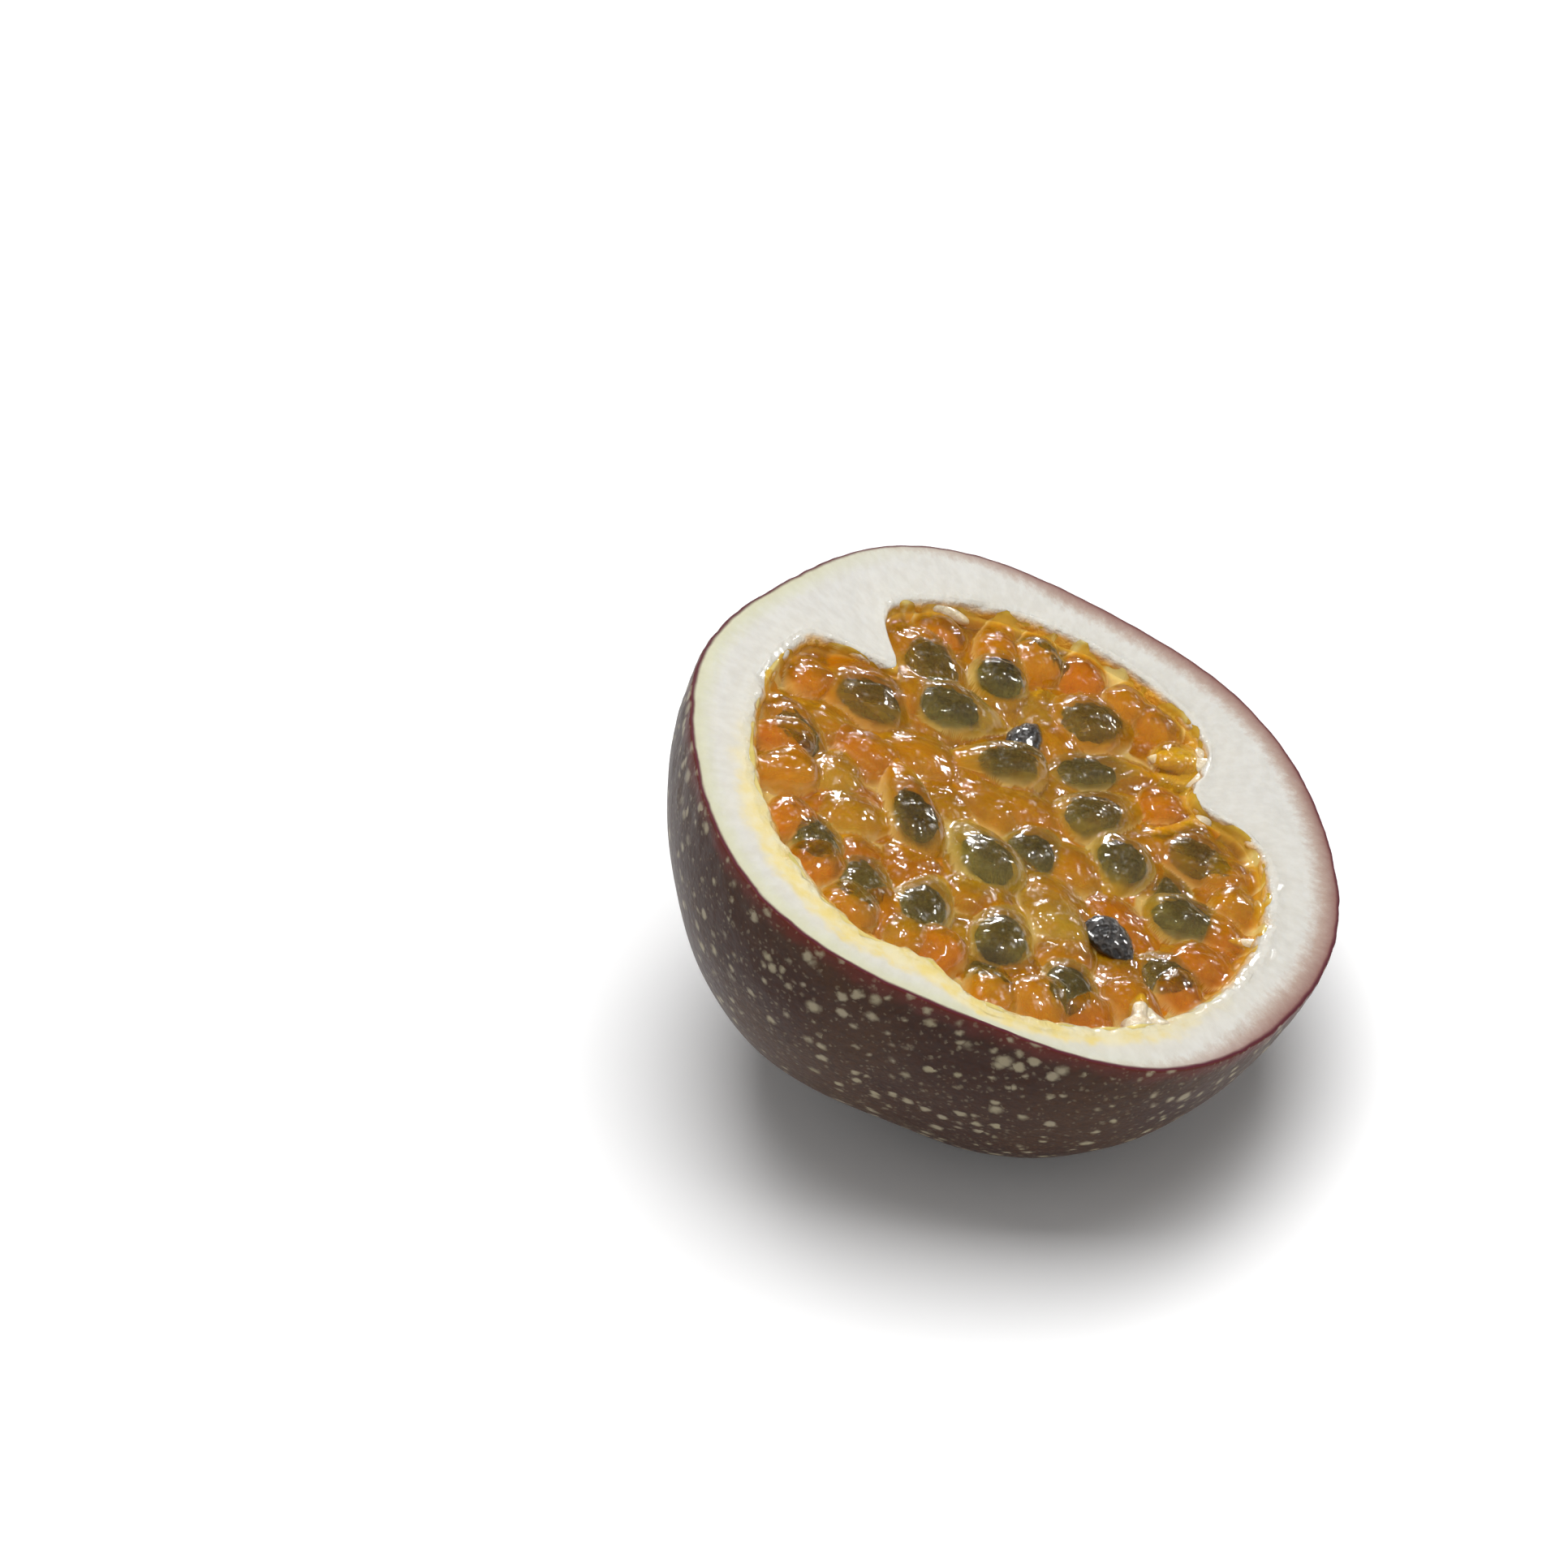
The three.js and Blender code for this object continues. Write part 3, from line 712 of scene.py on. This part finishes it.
# %% The pulp's surface as a height
SEED_LENGTH, SEED_WIDTH = 0.52, 0.6
SEED_LONGEST, SEED_BROADEST = 5.2, 3.6
SEED_THICKNESS, SEED_TAPER = 0.62, 0.18
SEED_COVER, SEED_SETBACK = 0.5, 0.1
CREASE = 0.7  # two sacs nearer to level than this are joined by juice
CREASE_SEEN = 1.2
OVER_SEED, HALO = (1.7, 0.6), (2.6, 1.1)  # in seed radii: where they start, and where they are full
FAR, NOWHERE = 9.0, -99
WAVY, FINE = 0.05, 0.02  # heights of the waves on the juice


def laid_out(x, y, heading, along, across):
    """The x and y of what lies so far along and across a heading, in degrees, from a point."""
    turn = np.radians(heading)
    out_x = x + along * np.cos(turn) - across * np.sin(turn)
    return out_x, y + along * np.sin(turn) + across * np.cos(turn)


def seen_from(x, y, heading, place_x, place_y):
    """The reverse: how far places lie along and across a heading from each point."""
    turn, dx, dy = np.radians(heading), place_x - x, place_y - y
    return dx * np.cos(turn) + dy * np.sin(turn), dy * np.cos(turn) - dx * np.sin(turn)


def sac_heights(x, y):
    """The back of every egg at every point. Its half width is w = W/2 sqrt(1 - c^2) (1 - taper c), with c
    from -1 at the blunt end to 1 at the stalk end. Its back is z = middle + k W/2 (2w/W)^0.75
    (1 - q^2.4)^(1/2.4), with q = across / w, which is a little flatter than a round."""
    sx, sy, heading, length, width, depth, *_ = sacs.T[:, :, None]
    order = np.arange(len(sacs))[:, None]
    along, across = seen_from(sx, sy, heading, x, y)
    c = np.clip(2 * along / length, -1, 1)
    half = width / 2 * np.sqrt(1 - c * c) * (1 - SAC_TAPER * c)
    q = np.abs(across) / np.maximum(half, 1e-6)
    nod = SAC_NOD * np.sin(NOD_TURN * order)
    middle = -depth - width * SAC_THICKNESS / 2 - along * np.sin(nod)
    back = (2 * half / width) ** 0.75 * (1 - np.minimum(q, 1) ** 2.4) ** (1 / 2.4)
    height = np.where(q < 1, middle + SAC_THICKNESS * width / 2 * back, NOWHERE)
    return height, along / length, across, q


def settle(height):
    """The height with creases filled, max + (k - gap)^2 / 4k wherever the gap to the next highest sac is
    under k; which sac is the highest; and how close the crease is."""
    order = np.argpartition(-height, 1, axis=0)[:2]
    first, second = np.take_along_axis(height, order, axis=0)
    swap = second > first
    top = np.where(swap, order[1], order[0])
    high, low = np.maximum(first, second), np.minimum(first, second)
    low = np.maximum(low, -JUICE_DEPTH)
    gap = np.abs(high - low)
    filled = np.maximum(high, low) + np.maximum(CREASE - gap, 0) ** 2 / (4 * CREASE)
    return filled, top, np.clip(1 - gap / CREASE_SEEN, 0, 1)


def seed_rows():
    """Where each seed lies: x, y, z of its middle, heading, length and width, worked out from its sac."""
    x, y, heading, length, width, depth, *_ = np.array(SACS_WITH_SEED).T
    seed_length = np.minimum(SEED_LONGEST, length * SEED_LENGTH)
    seed_width = np.minimum(SEED_BROADEST, width * SEED_WIDTH)
    z = -depth - SEED_COVER - seed_width * SEED_THICKNESS / 2
    x, y = laid_out(x, y, heading, -length * SEED_SETBACK, 0)
    inside = np.stack([x, y, z, heading, seed_length, seed_width], -1)
    x, y, heading, length, width, depth = np.array(BARE_SEEDS).T
    bare = np.stack([x, y, -depth - width * SEED_THICKNESS / 2, heading, length, width], -1)
    return np.concatenate([inside, bare])


seeds = seed_rows()
print("seeds:", len(seeds), "in the frame:", len(seed_nodes))


def from_seed(x, y, count):
    """How far a point is from the nearest of the first seeds: 0 at its middle, 1 at its edge."""
    sx, sy, _, heading, length, width = seeds[:count].T[:, :, None]
    along, across = seen_from(sx, sy, heading, x, y)
    return np.hypot(along / (length / 2), across / (width / 2)).min(axis=0)


def pulp_surface(x, y):
    """The pulp's height and its stored values at flat arrays of x and y."""
    heights, along, across, edge = sac_heights(x, y)
    z, top, crease = settle(heights)
    pick = lambda a: np.take_along_axis(a, top[None], axis=0)[0]
    in_juice = smoothstep(0.25, 0.0, pick(heights) + JUICE_DEPTH)
    points = np.stack([x, y], -1)
    z = z + WAVY * unevenness(points, 1.7, 21) + FINE * unevenness(points, 0.7, 22)
    stalk = smoothstep(0.05, 0.5, pick(along))
    seed_gap = from_seed(x, y, len(SACS_WITH_SEED)) + FAR * (top >= len(SACS_WITH_SEED))
    over = smoothstep(*OVER_SEED, seed_gap)
    warmth, clear = sacs[top, 6], sacs[top, 7]
    grain = np.stack([pick(along) * 2.0, pick(across), top * 7.3], -1)
    values = {
        "warmth": np.clip(warmth + 0.55 * stalk * (0.4 + warmth), 0, 1.4),
        # crease and low also drive the painted shade of the flesh below
        "crease": np.maximum(crease, in_juice),
        "edge": smoothstep(0.7, 1.0, pick(edge)),
        "over_seed": over,
        "halo": smoothstep(*HALO, seed_gap),
        "clear": clear * over,
        "low": smoothstep(-1.2, -3.2, z),
        "stalk": stalk,
        "grain": grain,
    }
    return z, values


# %% [markdown]
# The grid is a square pressed into a disc, so its cells stay nearly even and it has no pole. Its rim
# climbs the lip as a wet film and ends just inside the pith, which hides it. Below the rim a skirt runs
# down inside the cavity and closes the pulp.

# %% The pulp as a piece
PULP_GRID = 286
FILM_REACH = 0.65  # how far up the lip's round the wet film goes
FILM_WIDTH = 1.6
FILM_SUNK, FILM_RISE, FILM_RAGGED = 0.2, 0.5, 0.15
SKIRT_ROWS = 6
PULP_DROP = 18.0


def disc_grid(count):
    """A square pressed into the unit disc: x = s sqrt(1 - t^2/2), y = t sqrt(1 - s^2/2)."""
    s, t = np.meshgrid(np.linspace(-1, 1, count), np.linspace(-1, 1, count), indexing="ij")
    return s * np.sqrt(1 - t * t / 2), t * np.sqrt(1 - s * s / 2)


def rim_order(count):
    """The grid's border as one loop of flat indices, anticlockwise seen from above."""
    i = np.arange(count)
    last = count - 1
    return np.concatenate([i[:-1] * count, last * count + i[:-1], i[:0:-1] * count + last, i[:0:-1]])


def disc_faces(count):
    """The faces of a square grid, facing up."""
    i, j = np.meshgrid(np.arange(count - 1), np.arange(count - 1), indexing="ij")
    at = i * count + j
    return np.stack([at, at + count, at + count + 1, at + 1], -1).reshape(-1, 4).tolist()


def skirt(points, loop, drop, start):
    """Rings that shrink along a quarter ellipse from the rim down to one closing point, with their faces."""
    rim = points[loop]
    turn = (np.arange(1, SKIRT_ROWS + 1) / (SKIRT_ROWS + 1) * np.pi / 2)[:, None]
    shrink = np.cos(turn)
    rings = np.stack([rim[:, 0] * shrink, rim[:, 1] * shrink, rim[:, 2] - drop * np.sin(turn)], -1)
    bottom = np.array([[0.0, 0.0, rim[:, 2].mean() - drop]])
    count = len(loop)
    index = np.concatenate([loop[None], start + np.arange(SKIRT_ROWS * count).reshape(SKIRT_ROWS, count)])
    following = np.roll(index, -1, axis=1)
    quads = np.stack([index[:-1], index[1:], following[1:], following[:-1]], -1).reshape(-1, 4).tolist()
    last = start + SKIRT_ROWS * count
    fan = np.stack([index[-1], np.full(count, last), following[-1]], -1).tolist()
    return np.concatenate([rings.reshape(-1, 3), bottom]), quads + fan


def lip_height(radius, angle):
    """The height of the rind's lip at a radius: z = H (cos t - 1), sin t = 1 - (radius - lip) / round."""
    sine = np.clip(1 - (radius - cavity_radius(angle, 0.5)) / lip_round(angle), 0, 1)
    return LIP_HEIGHT * (np.sqrt(1 - sine**2) - 1)


def make_pulp_layer(name, count, sunk, drop):
    """One closed body, its top sunk by some mm below the pulp's surface. Near the wall the top climbs onto
    the lip as a thin wet film and then dips just under it, at a ragged line."""
    s, t = disc_grid(count)
    angle = np.arctan2(t, s)
    reach = cavity_radius(angle, 0.5) + FILM_REACH * lip_round(angle)
    x, y = (s * reach).ravel(), (t * reach).ravel()
    z, values = pulp_surface(x, y)
    from_rim = (reach * (1 - np.hypot(s, t))).ravel()
    lip = lip_height(np.hypot(x, y), angle.ravel())
    film = lip - FILM_SUNK + FILM_RISE * smoothstep(0, 0.9, from_rim)
    film = film + FILM_RAGGED * unevenness(np.stack([x, y], -1), 4.0, 23)
    values["film"] = smoothstep(FILM_WIDTH, 0.3, from_rim)
    z = z + (film - z) * values["film"] - sunk
    points = np.stack([x, y, z], -1)
    loop = rim_order(count)
    below, faces = skirt(points, loop, drop, len(points))
    for key, v in values.items():
        values[key] = np.concatenate([v, np.repeat(v[:1] * 0, len(below), axis=0)])
    return make_mesh(name, np.concatenate([points, below]), disc_faces(count) + faces, values)


pulp = make_pulp_layer("fine_pulp", PULP_GRID, 0.0, PULP_DROP)
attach(pulp, "root")
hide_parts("pulp")
say(pulp)

# %% [markdown]
# Looking into a sac, the eye meets a second, duller surface: the flesh and juice lower down. A coarser
# copy of the surface, sunk among the seeds, stands for it and shows through the clear jelly.

# %% The flesh below
FLESH_GRID = 200
FLESH_SUNK, FLESH_DROP = 1.7, 16.0
flesh = make_pulp_layer("deep_flesh", FLESH_GRID, FLESH_SUNK, FLESH_DROP)
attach(flesh, "root")
say(flesh)

# %% [markdown]
# Juice is clear and a sac's wall is barely there, so the jelly bends light and shows the seed as a soft
# dark shape. Two layers are mixed. One is clear and tinted, and lamp light passes it straight. The other
# is cloudy and glows: the folded wall at a sac's edge, the pulpy threads, and the dense flesh at the
# stalk. Both are wet: lamps show as small glints in the sharp coat.

# %% Jelly and flesh
CLEAR_STOPS = [(0.0, (246, 230, 134)), (0.35, (246, 220, 90)), (0.7, (246, 210, 50)), (1.0, (246, 200, 30))]
CLOUDY_STOPS = [(0.0, (170, 150, 64)), (0.35, (190, 144, 18)), (0.7, (208, 138, 0)), (1.0, (214, 128, 0))]
FLESH_STOPS = [(0.0, (182, 154, 66)), (0.5, (190, 138, 28)), (1.0, (190, 126, 10))]
WARMEST = 1.3  # the warmth that gives the last stop


def jelly_finish():
    """Clear tinted jelly mixed with cloudy amber by how thick and folded the sac is there."""
    f = Finish("amber jelly")
    place, grain = f.here(), f.stored("grain", "Vector")
    names = "warmth edge stalk over_seed clear low halo film".split()
    warmth, edge, stalk, over, clear, low, halo, film = map(f.stored, names)
    streak = f.noise(grain, 0.9, 4.0, 0.6)
    blotch = f.noise(place, 0.35, 3.0)
    heat = warmth - halo * 0.35 + (blotch - 0.5) * 0.9 + (streak - 0.5) * 0.35
    heat = heat.maths("MAXIMUM", 0.0) / WARMEST
    tint, body = f.ramp(heat, CLEAR_STOPS), f.ramp(heat, CLOUDY_STOPS)
    body = f.mix(over * 0.8, body, srgb(94, 76, 40))
    pale = f.along(place, (-0.02, -0.04, 0)) + (blotch - 0.5) * 1.2
    rim = f.mix(pale.step(0.0, 0.9), srgb(214, 160, 50), srgb(216, 194, 112))
    body = f.mix(film, body, rim)
    body = f.mix(edge * (0.45 + streak * 0.5), body, srgb(238, 208, 130))
    ripples = f.noise(grain, 1.1, 1.0) * 0.7 + f.noise(place, 0.9, 1.0) + f.noise(place, 2.4, 0.0) * 0.12
    wet = dict(Specular_IOR_Level=0.0, Coat_Weight=1.0, Coat_Roughness=0.02, Coat_IOR=1.36)
    wet["Normal"] = f.bump(ripples, 0.0009, 0.22)
    clear_jelly = f.surface(Base_Color=tint, Roughness=0.25, IOR=1.34, Transmission_Weight=1.0, **wet)
    straight = f.node("ShaderNodeBsdfTransparent", None, {"Color": tint})
    path = f.node("ShaderNodeLightPath", output="Is Shadow Ray")
    lighting = path.maths("MAXIMUM", Value(f, path.socket.node.outputs["Is Diffuse Ray"]))
    clear_jelly = f.node("ShaderNodeMixShader", None, {0: lighting, 1: clear_jelly, 2: straight})
    cloudy = f.surface(glow=(0.6, (1.0, 0.75, 0.4), 0.0015), Base_Color=body, Roughness=0.4, **wet)
    folds = (streak - 0.45) * 0.6 + edge * 0.25 + halo * 0.08 + over * 0.22
    thick = 0.2 + folds + stalk * 0.3 + low * 0.1 - clear * 0.35 + film * 0.5
    thick = thick.maths("MAXIMUM", 0.04).maths("MINIMUM", 0.85)
    return f.finish(f.node("ShaderNodeMixShader", None, {0: thick, 1: clear_jelly, 2: cloudy}))


def flesh_finish():
    """Tan to amber, with painted shade: darker brown in the creases and deep hollows; the jelly above tints
    it.
    """
    f = Finish("deep amber flesh")
    place, warmth, low = f.here(), f.stored("warmth"), f.stored("low")
    blotch = f.noise(place, 0.45, 4.0)
    heat = (warmth + (blotch - 0.5) * 1.2).maths("MAXIMUM", 0.0) / WARMEST
    colour = f.ramp(heat, FLESH_STOPS)
    # painted shade: darker brown in the creases between sacs and where the flesh lies low
    colour = f.mix(f.stored("crease") * 0.5 + low * 0.2, colour, srgb(112, 62, 10))
    shader = f.surface(
        Base_Color=colour,
        Roughness=0.5,
        Specular_IOR_Level=0.0,
        glow=(0.5, (1.0, 0.6, 0.2), 0.002),
        Normal=f.bump(f.noise(place, 0.9, 3.0), 0.001, 0.6),
    )
    return f.finish(shader)


pulp.data.materials.append(jelly_finish())
flesh.data.materials.append(flesh_finish())
print("jelly finish:", len(pulp.data.materials[0].node_tree.nodes), "nodes")

# %% [markdown]
# A passion fruit seed is a flat oval pip, narrower at the stalk end and pitted all over: an egg squeezed
# flat, with a faint keel round its edge. The pits are too fine to model, so a cell pattern dents the
# surface, with lighter ridges between.

# %% Seeds
SEED_ROWS, SEED_COLUMNS = 30, 44
SEED_ROUGH = 0.03


def make_seed(name, x, y, z, heading, length, width):
    """An egg: half width w = W/2 sin a (1 + taper cos a) along -cos a, squeezed flat, with a keel."""
    a = np.linspace(0, np.pi, SEED_ROWS)[:, None]
    b = np.linspace(0, 2 * np.pi, SEED_COLUMNS, endpoint=False)[None, :]
    half = width / 2 * np.sin(a) * (1 + SEED_TAPER * np.cos(a))
    keel = 1 - 0.1 * np.abs(np.sin(b)) ** 0.5 + 0.04 * np.cos(2 * b) ** 8
    along = -length / 2 * np.cos(a) + 0 * b
    across = half * np.cos(b) * keel
    up = half * np.sin(b) * SEED_THICKNESS * keel
    points = np.stack([*laid_out(x, y, heading, along, across), z + up], -1)
    points += SEED_ROUGH * unevenness(points, 1.2, 31)[..., None] * (points - (x, y, z))
    return make_mesh(name, wrapped_values(points), wrapped_faces(SEED_ROWS, SEED_COLUMNS))


def seed_finish(name, shine, coat):
    """Near-black and pitted, with that much shine and a wet coat of that weight."""
    f = Finish(name)
    place = f.here()
    inputs = {"Vector": place, "Scale": 2.3}
    pits = f.node("ShaderNodeTexVoronoi", {"feature": "SMOOTH_F1"}, inputs, "Distance")
    ridge = pits.step(0.25, 0.6)
    shader = f.surface(
        Base_Color=f.mix(ridge * 0.5, srgb(20, 17, 16), srgb(62, 54, 46)),
        Roughness=0.45,
        Specular_IOR_Level=shine,
        Coat_Weight=coat,
        Coat_Roughness=0.08,
        Normal=f.bump(ridge + f.noise(place, 4.0, 2.0) * 0.3, 0.0003, 0.8),
    )
    return f.finish(shader)


sunk_seed = seed_finish("pitted seed in jelly", 0.05, 0.0)
bare_seed = seed_finish("bare wet seed", 0.4, 0.8)
for i, (node, row) in enumerate(zip(seed_nodes, seeds)):
    piece = make_seed("fine_" + node, *row)
    piece.data.materials.append(sunk_seed if i < len(SACS_WITH_SEED) else bare_seed)
    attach(piece, "root")
    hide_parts(node)
say(piece)

# %% [markdown]
# A few stalks have lost their sac. They are short soft pegs of pith, some with a yellow tip, growing out
# of the wall: a round profile carried along a bent path.

# %% Bare stalks
STALKS = [  # root x and y, heading, drop, length, root radius, tip radius, how yellow the tip is
    (19.2, 6.4, 207, 12, 8.2, 1.0, 0.3, 1.0),
    (18.0, 11.2, 180, 4, 6.2, 1.1, 0.5, 0.8),
    (-8.6, 21.6, -5, 6, 5.0, 0.9, 0.4, 0.8),
    (12.0, 20.9, 172, 8, 4.6, 0.9, 0.35, 0.8),
    (9.4, -22.2, 84, -4, 4.6, 1.4, 0.35, 0.4),
    (11.4, -21.4, 118, 4, 3.6, 1.1, 0.3, 0.4),
    (21.8, -8.2, 178, 8, 4.0, 1.0, 0.2, 0.6),
    (19.0, 13.4, 192, 8, 7.2, 1.8, 0.2, 0.2),
    (18.6, 9.4, 172, 6, 6.4, 1.9, 0.25, 0.2),
]
STALK_ROWS, STALK_COLUMNS = 26, 20
STALK_SUNK, STALK_ROUGH = 0.15, 0.17
STALK_ROUNDING = 0.82  # from this part of its length on, the tip is rounded off


def stalk_points(x, y, heading, drop, length, root, tip, yellow):
    """A tapering round profile along a sinking path: z falls by drop, mostly as the square of the way."""
    t = np.linspace(0, 1, STALK_ROWS)[:, None]
    b = np.linspace(0, 2 * np.pi, STALK_COLUMNS, endpoint=False)[None, :]
    rounding = np.clip((t - STALK_ROUNDING) / (1 - STALK_ROUNDING), 0, 1)
    radius = (root + (tip - root) * t) * np.sqrt(1 - rounding**2)
    radius = radius * np.minimum(1, np.sqrt(t / 0.04))
    sink = length * math.tan(math.radians(drop))
    along = length * t + 0 * b
    across = radius * np.cos(b)
    up = radius * np.sin(b) - sink * (0.3 * t + 0.7 * t * t)
    points = np.stack([*laid_out(x, y, heading, along, across), up - root - STALK_SUNK], -1)
    rough = unevenness(points, 1.7, 41)[..., None] * STALK_ROUGH
    centre = points.mean(axis=1, keepdims=True)
    return points + (points - centre) * rough, t * yellow + 0 * b


def make_stalks():
    """All the stalks as one piece of closed bodies."""
    grids = [stalk_points(*row) for row in STALKS]
    size = (STALK_ROWS - 2) * STALK_COLUMNS + 2
    points = np.concatenate([wrapped_values(p) for p, _ in grids])
    ends = np.concatenate([wrapped_values(t) for _, t in grids])
    faces = [face for i in range(len(grids)) for face in wrapped_faces(STALK_ROWS, STALK_COLUMNS, i * size)]
    return make_mesh("bare_stalks", points, faces, {"tip": ends})


def stalk_finish():
    """Wet white pith that turns yellow at the tip."""
    f = Finish("wet stalk")
    place, tip = f.here(), f.stored("tip")
    cream = f.mix(f.noise(place, 1.5), srgb(206, 182, 140), srgb(214, 203, 180))
    yellow = (tip + (f.noise(place, 1.0) - 0.5) * 0.3).step(0.6, 0.95)
    shader = f.surface(
        Base_Color=f.mix(yellow, cream, srgb(220, 172, 50)),
        Roughness=0.35,
        glow=(0.4, (1.0, 0.7, 0.4), 0.0015),
        Coat_Weight=0.7,
        Coat_Roughness=0.1,
        Normal=f.bump(f.noise(place, 1.6, 3.0), 0.0005, 0.6),
    )
    return f.finish(shader)


stalks = make_stalks()
stalks.data.materials.append(stalk_finish())
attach(stalks, "root")
say(stalks)

# %% [markdown]
# The studio is plain: a white table, a white surround that is dim at the back, and one large soft lamp
# straight above. Small bright lamps make the glints on the juice, and light nothing.

# %% Floor and light
KEY_PLACE, KEY_SIZE, KEY_POWER = (0.0, 0.02, 0.9), 0.64, 9.0
SKY_FRONT, SKY_BACK, FADE = 0.44, 0.04, (0.1, 0.6)  # strengths, and where one fades into the other
TABLE_HALF = 3.0
GLINTS = [  # place in m, and side of the square
    ((-0.02, 0.6, 0.3), 0.08),
    ((0.13, 0.64, 0.22), 0.05),
    ((-0.03, 0.4, 0.6), 0.05),
    ((0.3, 0.05, 0.62), 0.05),
    ((0.52, 0.38, 0.32), 0.06),
    ((-0.4, 0.1, 0.6), 0.08),
]
GLINT_RADIANCE = 95.0


def make_floor():
    """A wide white table top at z = 0."""
    mesh = bpy.data.meshes.new("table_top")
    corners = [(x * TABLE_HALF, y * TABLE_HALF, 0) for x, y in ((-1, -1), (1, -1), (1, 1), (-1, 1))]
    mesh.from_pydata(corners, [], [(0, 1, 2, 3)])
    f = Finish("white table")
    mesh.materials.append(f.finish(f.surface(Base_Color=(0.95, 0.95, 0.95), Specular_IOR_Level=0.0)))
    add("table_top", mesh)


def make_lamp(name, place, aim, size, power):
    """A square lamp at a place, in m, turned to face another."""
    data = bpy.data.lights.new(name, "AREA")
    data.size, data.energy = size, power
    lamp = add(name, data)
    lamp.location = place
    lamp.rotation_euler = (Vector(aim) - Vector(place)).to_track_quat("-Z", "Y").to_euler()
    return lamp


def make_sky(front, back):
    """A white surround of one strength in front and another behind."""
    f = Finish("studio", "World")
    backwards = f.along(f.node("ShaderNodeTexCoord", output="Generated"), (0, 1, 0))
    inputs = {"Value": backwards, "From Min": FADE[0], "From Max": FADE[1], "To Min": front, "To Max": back}
    strength = f.node("ShaderNodeMapRange", None, inputs)
    white = f.node("ShaderNodeBackground", None, {"Color": (1, 1, 1), "Strength": strength})
    bpy.context.scene.world = f.finish(white)


make_floor()
aim = tuple(CUT_MIDDLE * MM)
key = make_lamp("key", KEY_PLACE, aim, KEY_SIZE, KEY_POWER)
key.visible_glossy = key.visible_transmission = False
for i, (place, size) in enumerate(GLINTS):
    glint = make_lamp(f"glint_{i}", place, aim, size, GLINT_RADIANCE * math.pi * size**2)
    glint.visible_diffuse = glint.visible_transmission = False
make_sky(SKY_FRONT, SKY_BACK)
bpy.context.scene.view_settings.view_transform = "Standard"
